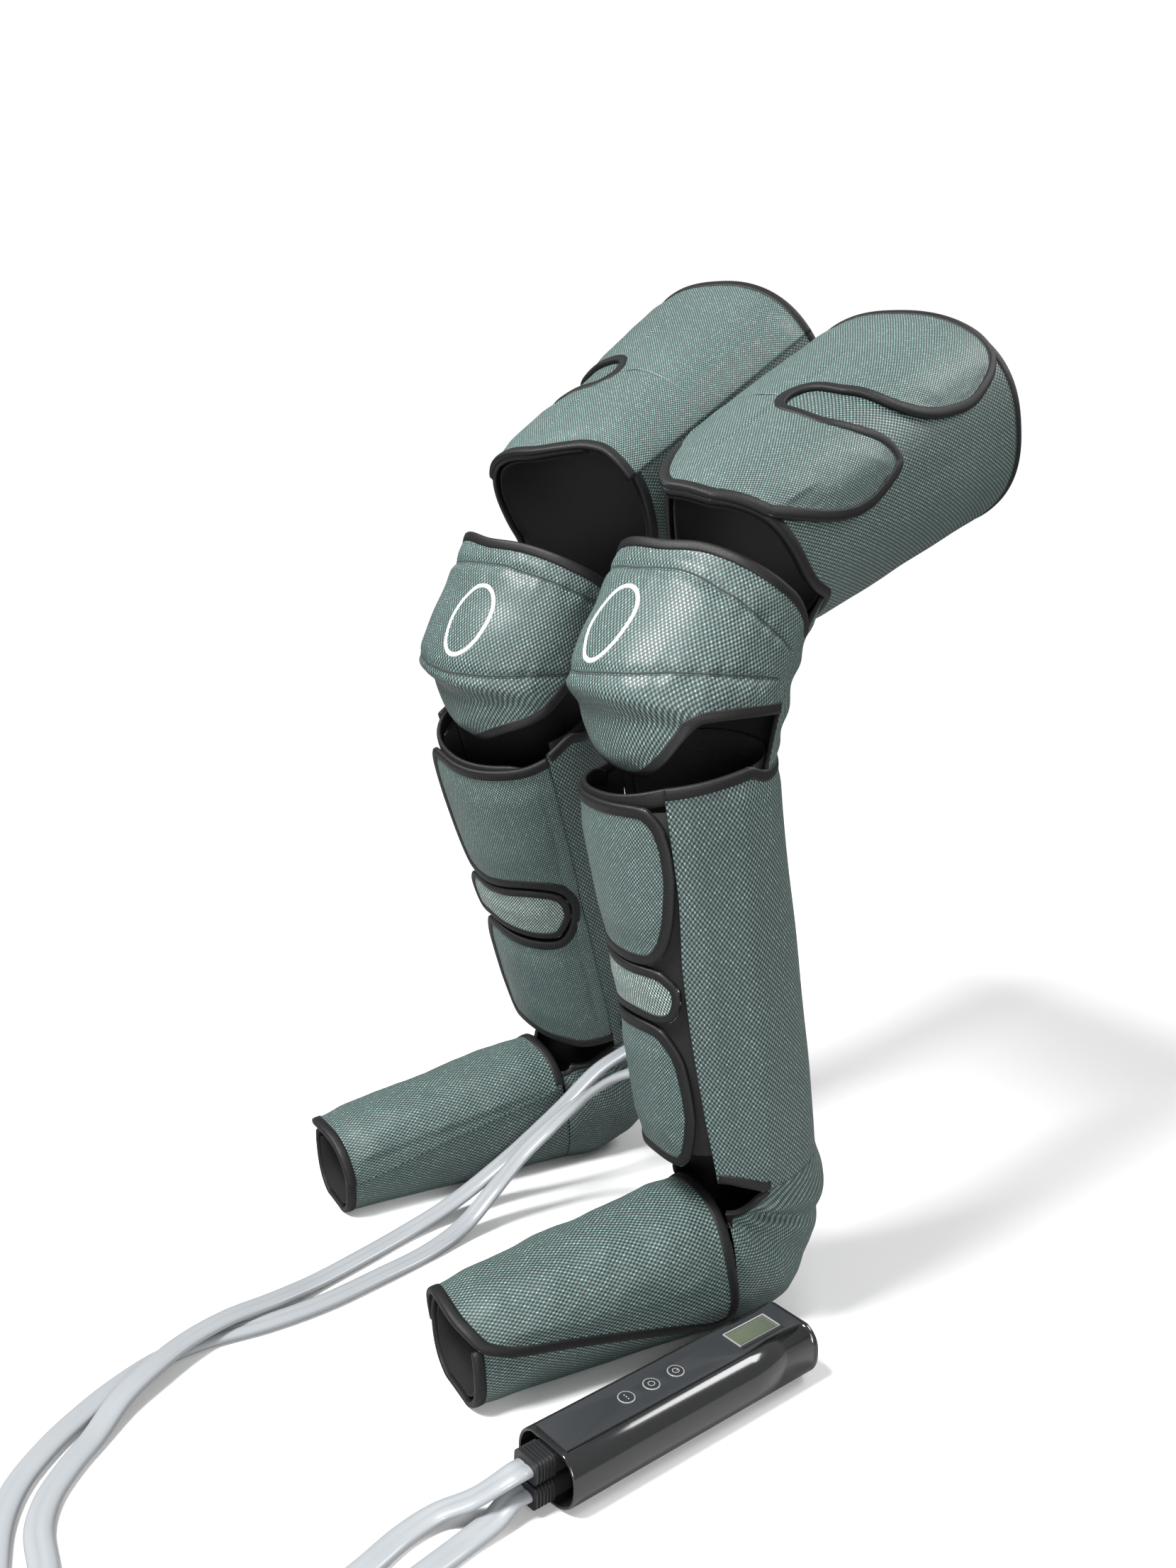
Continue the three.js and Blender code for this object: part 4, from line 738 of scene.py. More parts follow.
def tape_finish():
    """Black ribbed binding tape with a line of stitches along its inner edge."""
    colour = colour_of("tape")
    maker = FinishMaker("binding_tape", roughness=0.45, Specular_IOR_Level=0.35)
    stitches = maker.effect(effects["stitch"], Place=maker.pattern, Line=0.16, Half_Width=0.022)
    wear = maker.effect(effects["wear"], Place=maker.objects, Scale=30.0, Contrast=0.9)
    parts = maker.tree.nodes.new("ShaderNodeSeparateXYZ")
    maker.tree.links.new(maker.pattern, parts.inputs[0])
    ribs = add_math(
        maker.tree, "SINE", add_math(maker.tree, "MULTIPLY", parts.outputs["X"], math.tau / 0.0011))
    worn = add_colour_mix(maker.tree, wear["Speckle"], colour, scaled_colour(colour, 2.2))
    base = maker.toned(worn, wear["Tone"])
    thread = add_colour_mix(maker.tree, stitches["Stitches"], base, scaled_colour(colour, 0.25))
    low = add_math(maker.tree, "MULTIPLY", stitches["Dent"], -2.5)
    height = add_math(maker.tree, "ADD", add_math(maker.tree, "MULTIPLY", ribs, 0.3), low)
    rough = add_range(maker.tree, wear["Speckle"], 0.0, 1.0, 0.55, 0.42)
    return maker.finish(thread, height, strength=0.5, distance=0.0004, roughness=rough)


def cloth_finish(name, colour, pitch, roughness=0.9):
    """Plain fine cloth with a crossed weave, for linings, strips, bladders and pads."""
    maker = FinishMaker(name, roughness=roughness)
    weave = maker.effect(effects["weave"], Place=maker.pattern, Pitch=pitch, Stretch=1.0)
    wear = maker.effect(effects["wear"], Place=maker.objects, Scale=20.0, Contrast=0.6)
    shaded = add_colour_mix(
        maker.tree, weave["Holes"], maker.toned(colour, wear["Tone"]), scaled_colour(colour, 0.4))
    return maker.finish(shaded, weave["Height"], strength=0.4, distance=0.0004)


def moulded_finish(name, colour, roughness, scale=60.0, texture=0.05, **constants):
    """Moulded plastic or metal with faint unevenness in its gloss."""
    maker = FinishMaker(name, roughness=roughness, **constants)
    wear = maker.effect(effects["wear"], Place=maker.objects, Scale=scale, Contrast=0.25)
    rough = add_range(maker.tree, wear["Speckle"], 0.0, 1.0, roughness, roughness + 0.06)
    return maker.finish(
        maker.toned(colour, wear["Tone"]), wear["Speckle"], strength=texture, distance=0.0002,
        roughness=rough)


def hose_finish():
    """Smooth grey plastic hose, its gloss a little uneven."""
    colour = colour_of("hose")
    maker = FinishMaker("grey_hose", roughness=0.3, Coat_Weight=0.25, Coat_Roughness=0.2)
    wear = maker.effect(effects["wear"], Place=maker.objects, Scale=6.0, Contrast=0.16)
    rough = add_range(maker.tree, wear["Tone"], 0.95, 1.05, 0.24, 0.34)
    return maker.finish(
        maker.toned(colour, wear["Tone"]), wear["Tone"], strength=0.05, distance=0.0005,
        roughness=rough)


def window_finish():
    """Display glass over a grey-green panel, with faint unevenness in its tint."""
    maker = FinishMaker("display_glass", roughness=0.08, Coat_Weight=1.0, Coat_Roughness=0.03)
    wear = maker.effect(effects["wear"], Place=maker.objects, Scale=45.0, Contrast=0.3)
    tinted = maker.toned((0.085, 0.1, 0.068), wear["Tone"])
    return maker.finish(tinted, wear["Speckle"], strength=0.02, distance=0.0002)


def floor_finish():
    """A pale floor that runs on into the white backdrop and throws little light back up."""
    colour = colour_of("floor")
    maker = FinishMaker("pale_floor", roughness=0.8, Specular_IOR_Level=0.2)
    seen = maker.tree.nodes.new("ShaderNodeLightPath").outputs["Is Camera Ray"]
    away = maker.tree.nodes.new("ShaderNodeVectorMath")
    away.operation = "LENGTH"
    maker.tree.links.new(maker.objects, away.inputs[0])
    far = add_range(maker.tree, away.outputs["Value"], 0.9, 2.6)
    wear = maker.effect(effects["wear"], Place=maker.objects, Scale=2.0, Contrast=0.01)
    pale = add_colour_mix(
        maker.tree, seen, scaled_colour(colour, 0.4), maker.toned(colour, wear["Tone"]))
    near = add_colour_mix(maker.tree, far, pale, (0.0, 0.0, 0.0))
    glow = add_colour_mix(maker.tree, far, (0.0, 0.0, 0.0), (1.0, 1.0, 1.0))
    lit = add_colour_mix(maker.tree, seen, (0.0, 0.0, 0.0), glow)
    maker.tree.links.new(lit, maker.shader.inputs["Emission Color"])
    maker.shader.inputs["Emission Strength"].default_value = 1.0
    return maker.finish(near)


effects = {}
finishes = {}


def make_finishes():
    """Builds every effect and material once."""
    effects.update(weave=weave_group(), wear=wear_group(), stitch=stitch_group())
    mesh = colour_of("mesh")
    pitch = bpy.context.scene.wrap_sizes.weave_pitch
    finishes.update(
        mesh=mesh_finish("grey_green_mesh", mesh, pitch),
        tab_mesh=mesh_finish("fine_mesh", scaled_colour(mesh, 1.12), pitch * 0.72, turn=8.0),
        pale_mesh=mesh_finish("pale_mesh", colour_of("pale_mesh"), pitch * 0.8, turn=-10.0),
        tape=tape_finish(),
        lining=cloth_finish("black_lining", colour_of("lining"), 0.0016),
        strip=cloth_finish("loop_strip_pile", (0.009, 0.009, 0.01), 0.0022, 0.95),
        bladder=cloth_finish("bladder_film", (0.016, 0.016, 0.018), 0.0012, 0.45),
        pad=cloth_finish("heating_pad_cloth", (0.03, 0.028, 0.027), 0.0018, 0.8),
        # The seam strip's colour, darker than the mesh, is painted shade in the fold.
        seam=cloth_finish("seam_fold", scaled_colour(mesh, 0.55), 0.0014, 0.7),
        mark=cloth_finish("white_thread", colour_of("mark"), 0.0012, 0.6),
        hose=hose_finish(),
        shell=moulded_finish(
            "gloss_black_shell", colour_of("shell"), 0.13, 90.0, 0.01, Specular_IOR_Level=1.0),
        panel=moulded_finish("matt_top_panel", colour_of("panel"), 0.4, 400.0, 0.12),
        button=moulded_finish("button_plastic", (0.02, 0.021, 0.023), 0.33, 300.0, 0.08),
        ring=moulded_finish("button_ring", (0.22, 0.23, 0.24), 0.25, 200.0, 0.03),
        black=moulded_finish("black_plastic", (0.013, 0.013, 0.014), 0.38, 250.0, 0.08),
        # The rim is a real part; its pale grey partly stands in for the highlights on its edges, as
        # painted highlight.
        frame=moulded_finish("bright_frame", (0.3, 0.31, 0.31), 0.25),
        display=moulded_finish("display_module", (0.26, 0.29, 0.19), 0.4),
        board=moulded_finish("circuit_board", (0.013, 0.1, 0.04), 0.45, 300.0, 0.1),
        motor=moulded_finish("pump_metal", (0.45, 0.46, 0.48), 0.35, Metallic=0.9),
        window=window_finish(),
        floor=floor_finish(),
    )


def add_object(name, bm, materials, smooth=True):
    """Turns a bmesh into an object at the origin."""
    mesh = bpy.data.meshes.new(name)
    bm.to_mesh(mesh)
    bm.free()
    for material in materials:
        mesh.materials.append(material)
    for face in mesh.polygons:
        face.use_smooth = smooth
    piece = bpy.data.objects.new(name, mesh)
    bpy.context.scene.collection.objects.link(piece)
    return piece


def placed_grid(bm, columns, rows, place, pattern):
    """Adds a grid and lays it on a surface. place and pattern take the two shares of the grid."""
    uv = bm.loops.layers.uv.verify()
    made = bmesh.ops.create_grid(bm, x_segments=columns, y_segments=rows, size=0.5)["verts"]
    shares = {vert: (vert.co.x + 0.5, vert.co.y + 0.5) for vert in made}
    faces = {face for vert in made for face in vert.link_faces}
    for face in faces:
        for loop in face.loops:
            loop[uv].uv = pattern(*shares[loop.vert])
    for vert, (u, v) in shares.items():
        vert.co = place(u, v)
    return list(faces)


def closed_up(bm, sides=None, merge=1e-6):
    """Joins points that meet, fills open ends of up to that many sides, or of any number for 0,
    and turns the faces outwards."""
    bmesh.ops.remove_doubles(bm, verts=bm.verts[:], dist=merge)
    if sides is not None:
        ends = [edge for edge in bm.edges if edge.is_boundary]
        bmesh.ops.holes_fill(bm, edges=ends, sides=sides)
    bmesh.ops.recalc_face_normals(bm, faces=bm.faces[:])


def tube_skin(rings, pattern, looped=False):
    """A skin over rings of points, closed at both ends or looped back to its start."""
    count = len(rings)
    steps = count if looped else count - 1
    sides = len(rings[0])
    bm = bmesh.new()
    placed_grid(
        bm, steps, sides, lambda u, v: rings[round(u * steps) % count][round(v * sides) % sides],
        pattern)
    closed_up(bm, None if looped else sides + 2)
    return bm


def turned_solid(outline):
    """A solid turned about Z from (radius, height) points."""
    bm = bmesh.new()
    verts = [bm.verts.new((x, 0, z)) for x, z in outline]
    edges = [bm.edges.new(pair) for pair in zip(verts, verts[1:])]
    bmesh.ops.spin(
        bm, geom=verts + edges, cent=(0, 0, 0), axis=(0, 0, 1), angle=math.tau, steps=48,
        use_merge=True)
    closed_up(bm, merge=1e-5)
    return bm


def round_edges(piece, width, **settings):
    rounding = piece.modifiers.new("Rounded edges", "BEVEL")
    rounding.width = width
    rounding.segments = 2
    rounding.limit_method = "ANGLE"
    for name, value in settings.items():
        setattr(rounding, name, value)


def settle(piece, body, node=None):
    """Puts a piece on its body and in place of its CAD node."""
    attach(piece, body)
    if node:
        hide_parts(node)


class Panel:
    """A piece of fabric between two angles and two edge curves of a sleeve surface. joined names
    the sides, of start, end, low and high, where it runs on into its neighbour. slant gives
    the angle of the start edge at each share. slit names the side that is free only from an
    angle on."""

    def __init__(
            self, surface, start, end, low, high, layer=WRAP, gather=1.0, joined=(), slant=None,
            slit=None):
        self.surface = surface
        self.start = start
        self.end = end
        self.low = low
        self.high = high
        self.inner, self.outer = layer
        self.gather = gather
        self.joined = joined
        self.slant = slant
        self.slit = slit
        centre = (start + end) / 2
        middle = (low(centre) + high(centre)) / 2
        self.length = (surface(centre, middle + 0.05, self.outer)
                       - surface(centre, middle - 0.05, self.outer)).length * 10 / MM
        self.girth = (surface(centre + 5, middle, self.outer)
                      - surface(centre - 5, middle, self.outer)).length / 10 / MM

    def angle(self, u):
        """More columns stand near the end where gather is above one."""
        return mix(self.start, self.end, 1 - (1 - u) ** self.gather)

    def share(self, angle, v):
        return mix(self.low(angle), self.high(angle), v)

    def to_edge(self, angle, share):
        """Millimetres to the nearest free edge."""
        distances = []
        for side, curve, way in (("low", self.low, 1), ("high", self.high, -1)):
            if side not in self.joined:
                slope = (curve(angle + 0.5) - curve(angle - 0.5)) * self.length / self.girth
                distance = (share - curve(angle)) * way * self.length / math.hypot(1, slope)
                if self.slit and side == self.slit[0]:
                    distance = math.hypot(distance, max(self.slit[1] - angle, 0) * self.girth)
                distances.append(distance)
        if "start" not in self.joined:
            start = self.slant(share) if self.slant else self.start
            distances.append((angle - start) * self.girth)
        if "end" not in self.joined:
            distances.append((self.end - angle) * self.girth)
        return max(min(distances), 0.0) if distances else 100.0

    def add_to(self, bm, columns, rows, swell):
        """Adds the outer face of the panel. swell gives millimetres for an angle, a share and
        the distance to the nearest edge."""
        middle = (self.share(self.start, 0.5) + self.share(self.end, 0.5)) / 2
        arc = [0.0]
        for i in range(columns):
            near = self.surface(self.angle(i / columns), middle, self.outer)
            far = self.surface(self.angle((i + 1) / columns), middle, self.outer)
            arc.append(arc[-1] + (far - near).length)

        def place(u, v):
            angle = self.angle(u)
            share = self.share(angle, v)
            if self.slant:
                angle += (self.slant(share) - self.start) * (1 - u) ** 3
            lift = swell(angle, share, self.to_edge(angle, share))
            return self.surface(angle, share, self.outer + lift)

        def pattern(u, v):
            angle = self.angle(u)
            share = self.share(angle, v)
            whole = self.surface(angle, share, self.outer) - self.surface(angle, middle, self.outer)
            along = math.copysign(whole.length, share - middle)
            return arc[round(u * columns)] + self.start * 0.001, along

        faces = placed_grid(bm, columns, rows, place, pattern)
        centre = self.surface(self.angle(0.5), middle, self.outer)
        outside = self.surface(self.angle(0.5), middle, self.outer + 5) - centre
        nearest = min(faces, key=lambda face: (face.calc_center_median() - centre).length)
        nearest.normal_update()
        if nearest.normal.dot(outside) < 0:
            bmesh.ops.reverse_faces(bm, faces=faces)


def no_swell(angle, share, distance):
    return 0.0


def puckers(angle, share, distance):
    """Small gathers in the cloth just inside the binding tape."""
    near = math.exp(-((distance - 12) / 5) ** 2)
    return 0.45 * near * noise.noise(Vector((angle * 0.35, share * 34, 9.0)))


def crowned(height, wave=0.0, seed=0.0):
    """Padding that swells inside the binding tape, with slow waves in it."""

    def swell(angle, share, distance):
        rise = ease(8.5, 34, distance)
        slow = noise.noise(Vector((angle * 0.035 + seed, share * 5.0, seed)))
        fine = noise.noise(Vector((angle * 0.09 - seed, share * 14.0, seed + 7.0)))
        lift = height * rise + wave * (slow + 0.45 * fine) * rise
        return lift + puckers(angle, share, distance)

    return swell


def fabric_piece(
        leg, part, body, slot, panels, grid, swell, finish="mesh", node=None):
    """Panels of fabric as one piece that replaces a CAD node. A mesh fabric has a black back."""
    bm = bmesh.new()
    for panel in panels:
        panel.add_to(bm, *grid, swell)
    sides = [finish, "lining"] if finish.endswith("mesh") else [finish]
    piece = add_object(f"{leg.name}_{part}_cloth", bm, [finishes[side] for side in sides])
    thickness = piece.modifiers.new("Thickness", "SOLIDIFY")
    thickness.thickness = (panels[0].outer - panels[0].inner) * MM
    thickness.offset = -1
    thickness.use_even_offset = True
    thickness.material_offset = len(sides) - 1
    thickness.material_offset_rim = thickness.material_offset
    if body:
        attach(piece, body)
    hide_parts(f"{leg.name}_{node or part}")
    return piece


def even_edge(share):
    """An edge at one share of the length all the way round."""
    return lambda angle: share


def layer_piece(leg, part, body, surface, finish, slot, reach, low, high, layer, grid=(60, 16)):
    """A plain layer under the wraps. low and high are shares or edge curves."""
    edges = [edge if callable(edge) else even_edge(edge) for edge in (low, high)]
    panel = Panel(surface, *reach, *edges, layer)
    fabric_piece(leg, part, body, slot, [panel], grid, no_swell, finish)


def edge_points(curve, start, end, steps=60):
    """Points along an edge curve from one angle to another."""
    angles = [mix(start, end, i / steps) for i in range(steps + 1)]
    return [(angle, curve(angle)) for angle in angles]


def resampled(surface, offset, points, spacing, closed):
    """Evenly spaced (angle, share) points along a path on a surface, with rounded corners."""
    run = list(points) + ([points[0]] if closed else [])
    places = [surface(a, s, offset) for a, s in run]
    lengths = [0.0]
    for before, after in zip(places, places[1:]):
        lengths.append(lengths[-1] + (after - before).length)
    count = max(8, round(lengths[-1] / spacing))
    even = []
    k = 0
    for i in range(count if closed else count + 1):
        target = lengths[-1] * i / count
        while k < len(lengths) - 2 and lengths[k + 1] < target:
            k += 1
        span = lengths[k + 1] - lengths[k]
        t = (target - lengths[k]) / span if span > 0 else 0.0
        even.append((mix(run[k][0], run[k + 1][0], t), mix(run[k][1], run[k + 1][1], t)))
    for _ in range(3):
        rounder = []
        for i, here in enumerate(even):
            if not closed and i in (0, len(even) - 1):
                rounder.append(here)
                continue
            before = even[i - 1]
            after = even[(i + 1) % len(even)]
            rounder.append(tuple((before[j] + 2 * here[j] + after[j]) / 4 for j in (0, 1)))
        even = rounder
    return even, lengths[-1]


def border_points(*runs):
    """Points along several edge curves in turn."""
    return [point for run in runs for point in edge_points(*run)]


def strip_piece(
        name, body, surface, points, profile, offset, finish, closed=False, lift=None):
    """A narrow strip along a path on a surface. The profile's points are millimetres to the left
    of the path, in the plane of angle and share, and millimetres off the sleeve."""
    path, length = resampled(surface, offset, points, STRIP_STEP, closed)
    count = len(path)
    rings = []
    for i, (angle, share) in enumerate(path):
        before = path[i - 1] if closed or i > 0 else path[0]
        after = path[(i + 1) % count] if closed or i < count - 1 else path[-1]
        here = surface(angle, share, offset)
        by_angle = surface(angle + 0.5, share, offset) - surface(angle - 0.5, share, offset)
        by_share = surface(angle, share + 0.004, offset) - surface(angle, share - 0.004, offset)
        by_share /= 0.008
        along = surface(*after, offset) - surface(*before, offset)
        inward = by_angle.cross(by_share).cross(along).normalized()
        # Steps in angle and share that move one metre inwards on the surface
        aa, ab, bb = by_angle.dot(by_angle), by_angle.dot(by_share), by_share.dot(by_share)
        pa, pb = inward.dot(by_angle), inward.dot(by_share)
        scale = aa * bb - ab * ab
        step_angle = (pa * bb - pb * ab) / scale
        step_share = (pb * aa - pa * ab) / scale
        out = (surface(angle, share, offset + 1) - here).normalized()
        rise = lift(angle, share) if lift else 0.0
        ring = []
        for w, n in profile:
            base = surface(angle + step_angle * w * MM, share + step_share * w * MM, offset)
            ring.append(base + out * (n + rise - offset) * MM)
        rings.append(ring)
    bm = tube_skin(rings, lambda u, v: (u * length, v), closed)
    settle(add_object(name, bm, [finishes[finish]]), body)


def tape_piece(leg, name, body, surface, points, layer=WRAP, closed=False, width=None):
    """Binding tape folded over an edge, with the fabric to the left of the path."""
    sizes = bpy.context.scene.wrap_sizes
    width = (sizes.tape_width if width is None else width) / MM
    stand = sizes.tape_thickness / MM
    inner, outer = layer
    profile = [
        (width, outer - 0.4), (width - 0.3, outer + 0.6 * stand),
        (width * 0.75, outer + 0.85 * stand), (width * 0.4, outer + stand),
        (1.0, outer + 0.8 * stand), (-0.2, outer + 0.1 * stand), (-0.55, (outer + inner) / 2),
        (-0.2, inner - 0.1 * stand), (1.0, inner - 0.4 * stand),
        (width * 0.5, inner - 0.5 * stand), (width - 0.3, inner - 0.3 * stand),
        (width, inner + 0.4),
    ]
    strip_piece(
        f"{leg.name}_{name}", body, surface, points, profile, outer, "tape", closed)


def seam_piece(leg, name, points, lift):
    """A stitched fold where two panels of the knee cup meet, coloured darker as painted shade in
    the fold.
    """
    profile = [
        (w, FABRIC + n) for w, n in (
            (2.6, -1.0), (2.3, 0.15), (1.2, 0.5), (0.5, 0.35), (0.15, -0.25), (-0.15, -0.25),
            (-0.5, 0.2), (-1.0, 0.1), (-1.4, -1.0))
    ]
    strip_piece(
        f"{leg.name}_{name}", "leg_wraps", leg.knee, points, profile, FABRIC, "seam",
        lift=lift)


def legs():
    return [Leg(name, pose) for name, pose in LEGS.items()]


def ankle_folds(depth, seed):
    """A few uneven folds that spread from the front of the ankle over the heel."""

    def swell(angle, share, distance):
        side = 0.3 + 0.7 * ease(25, 100, abs(angle))
        band = ease(0.1, 0.35, share) * (1 - ease(0.72, 0.95, share))
        drift = 2.2 * noise.noise(Vector((angle * 0.02, share * 2.5, seed)))
        fan = math.sin(share * 19 + drift + seed)
        ridge = math.copysign(abs(fan) ** 1.6, fan)
        uneven = 0.6 + 0.8 * noise.noise(Vector((angle * 0.025, share * 4.0, seed + 5)))
        slow = noise.noise(Vector((angle * 0.03 + seed, share * 6.0, 3.0)))
        edge = ease(0, 25, distance)
        bend = 0.27 + 0.05 * noise.noise(Vector((angle * 0.02, seed, 1.0)))
        crease = -2.4 * math.exp(-((share - bend) / 0.04) ** 2)
        bulge = 1.7 * math.exp(-((share - bend + 0.12) / 0.07) ** 2)
        folds = (0.6 * ridge * band * uneven + crease + bulge) * side + 0.9 * slow
        return edge * (depth * folds + 0.8)

    return swell


def knee_swell(leg, depth):
    """Padding of the knee cup, pressed in along its two seams and puckered beside them."""
    arc = KNEE_ARC_SEAM[leg.name]
    level = KNEE_LEVEL_SEAM[leg.name]

    def swell(angle, share, distance):
        away_arc = abs(share - arc(angle)) * 260
        away_level = abs(share - level(angle)) * 260
        groove = -2.1 * math.exp(-(away_arc / 5) ** 2) - 1.9 * math.exp(-(away_level / 5) ** 2)
        near = math.exp(-(min(away_arc, away_level) / 16) ** 2)
        gathers = 1.8 * near * noise.noise(Vector((angle * 0.12, share * 9.0, 3.0 + leg.side)))
        slow = noise.noise(Vector((angle * 0.03 + 4 * leg.side, share * 6, 2.0)))
        edge = ease(6, 26, distance)
        belly = 1.8 * ease(0.26, 0.12, share)
        drape = 1.6 * ease(0.3, 0.1, share) * noise.noise(Vector((angle * 0.07, share * 3, 8.0)))
        lift = edge * (groove + gathers + depth * 0.6 * slow + 1.8 + drape + 0.4 * belly)
        return lift + puckers(angle, share, distance)

    return swell


class LegOperator:
    """Makes its pieces for one leg after the other."""

    def execute(self, context):
        for leg in legs():
            self.make(leg, context.scene.wrap_sizes)
        return {"FINISHED"}


class WRAPS_OT_stage(bpy.types.Operator):
    """Makes the floor, the lights and the camera"""

    bl_idname = "wraps.make_stage"
    bl_label = "Make Stage"

    def execute(self, context):
        make_finishes()
        bm = bmesh.new()
        bmesh.ops.create_grid(bm, x_segments=1, y_segments=1, size=FLOOR_HALF_SIZE)
        floor = add_object("floor", bm, [finishes["floor"]])

        world = bpy.data.worlds.new("soft_world")
        world.use_nodes = True
        tree = world.node_tree
        sky = tree.nodes["Background"]
        sky.inputs["Color"].default_value = (1.0, 1.0, 1.0, 1.0)
        seen = tree.nodes.new("ShaderNodeLightPath").outputs["Is Camera Ray"]
        strength = add_range(tree, seen, 0.0, 1.0, WORLD_STRENGTH, 1.0)
        tree.links.new(strength, sky.inputs["Strength"])
        context.scene.world = world
        for name, place, target, size, power in LAMPS:
            light = bpy.data.lights.new(name, "AREA")
            light.size = size
            light.energy = power
            lamp = bpy.data.objects.new(name, light)
            lamp.location = place
            away = Vector(place) - Vector(target)
            lamp.rotation_euler = away.to_track_quat("Z", "Y").to_euler()
            context.scene.collection.objects.link(lamp)

        camera = bpy.data.cameras.new("camera")
        camera.sensor_fit = "VERTICAL"
        camera.sensor_height = SENSOR_HEIGHT
        camera.lens = SENSOR_HEIGHT * FOCAL_PIXELS / PHOTO_HEIGHT
        viewer = bpy.data.objects.new("camera", camera)
        context.scene.collection.objects.link(viewer)
        forward = CAMERA_AIM.normalized()
        right = forward.cross(Vector((0, 0, 1))).normalized()
        up = right.cross(forward)
        roll = math.radians(CAMERA_ROLL)
        level = right * math.cos(roll) + up * math.sin(roll)
        rise = up * math.cos(roll) - right * math.sin(roll)
        view = Matrix((level, rise, -forward)).transposed().to_4x4()
        view.translation = CAMERA_PLACE + ORIGIN_SHIFT * MM
        viewer.matrix_world = view
        context.scene.camera = viewer
        context.scene.view_settings.view_transform = "Standard"
        return {"FINISHED"}


def centripetal_curve(points, steps):
    """Smooth curve through points, with knots spaced by the root of their distances."""
    ends = [points[0] * 2 - points[1], points[-1] * 2 - points[-2]]
    run = [ends[0], *points, ends[1]]
    line = []
    for i in range(1, len(run) - 2):
        p0, p1, p2, p3 = run[i - 1:i + 3]
        t0 = 0.0
        t1 = t0 + math.sqrt((p1 - p0).length)
        t2 = t1 + math.sqrt((p2 - p1).length)
        t3 = t2 + math.sqrt((p3 - p2).length)
        for k in range(steps):
            t = mix(t1, t2, k / steps)
            a1 = p0.lerp(p1, (t - t0) / (t1 - t0))
            a2 = p1.lerp(p2, (t - t1) / (t2 - t1))
            a3 = p2.lerp(p3, (t - t2) / (t3 - t2))
            b1 = a1.lerp(a2, (t - t0) / (t2 - t0))
            b2 = a2.lerp(a3, (t - t1) / (t3 - t1))
            line.append(b1.lerp(b2, (t - t1) / (t2 - t1)))
    line.append(points[-1])
    return line


def handset_point(x, y, z):
    """A place in the handset's own millimetres, in metres in the frame."""
    turned = Matrix.Rotation(math.radians(HANDSET_TURN), 3, "Z") @ Vector((x, y, z))
    return (turned + HANDSET_PLACE + ORIGIN_SHIFT) * MM


def port_of(leg):
    """Place and direction where the hose enters the leg's port, and the boss's seat."""
    seat = leg.calf(PORT_ANGLE, PORT_SHARE, FABRIC)
    beside = leg.calf(PORT_ANGLE + 15, PORT_SHARE, FABRIC) - seat
    above = leg.calf(PORT_ANGLE, PORT_SHARE * 2, FABRIC) - seat
    normal = beside.cross(above).normalized()
    if normal.dot(seat - leg.calf(PORT_ANGLE + 180, PORT_SHARE, 0)) < 0:
        normal.negate()
    face = seat + normal * ((GAP + PORT_THICKNESS + GAP) * MM)
    return seat, normal, face


class WRAPS_OT_hoses(LegOperator, bpy.types.Operator):
    """Makes the two flat air hoses from the plugs to the ports on the calves"""

    bl_idname = "wraps.make_hoses"
    bl_label = "Make Hoses"

    def make(self, leg, sizes):
        plug, route = HOSE_ROUTES[leg.name]
        _, normal, face = port_of(leg)
        start = handset_point(0, -PLUG_OUTSIDE - GAP, PLUG_LEVELS[plug])
        lead = handset_point(0, -PLUG_OUTSIDE - GAP - HOSE_LEAD / 2, PLUG_LEVELS[plug])
        chosen = [(Vector(p) + ORIGIN_SHIFT) * MM for p in route]
        line = centripetal_curve([start, lead, *chosen, face + normal * HOSE_LEAD * MM, face], 12)
        length = sum((b - a).length for a, b in zip(line, line[1:]))
        last = len(line) - 1
        rings = []
        wide = None
        for i, here in enumerate(line):
            ahead = (line[min(i + 1, last)] - line[max(i - 1, 0)]).normalized()
            flat = ahead.cross(Vector((0, 0, 1)))
            wish = flat.normalized() if flat.length > 0.3 else wide
            if wide is None:
                wide = wish
            steady = (wide - ahead * wide.dot(ahead)).normalized()
            wide = (steady.lerp(wish - ahead * wish.dot(ahead), 0.25)).normalized()
            thick = wide.cross(ahead).normalized()
            ring = []
            for k in range(HOSE_SIDES):
                across, along = rounded_ring(360 * k / HOSE_SIDES, HOSE_POWER)
                # A shallow channel runs down the middle, between the two air ways
                channel = 1 - 0.2 * math.exp(-(across / 0.16) ** 2)
                spot = here + wide * (across * (sizes.hose_width / 2))
                spot += thick * (along * (sizes.hose_thickness / 2) * channel)
                spot.z = max(spot.z, 0.0001)
                ring.append(spot)
            rings.append(ring)
        bm = tube_skin(rings, lambda u, v: (u * length, v * 0.05))
        hose = add_object(f"{leg.name}_air_hose", bm, [finishes["hose"]])
        settle(hose, "leg_wraps", f"{leg.name}_hose")


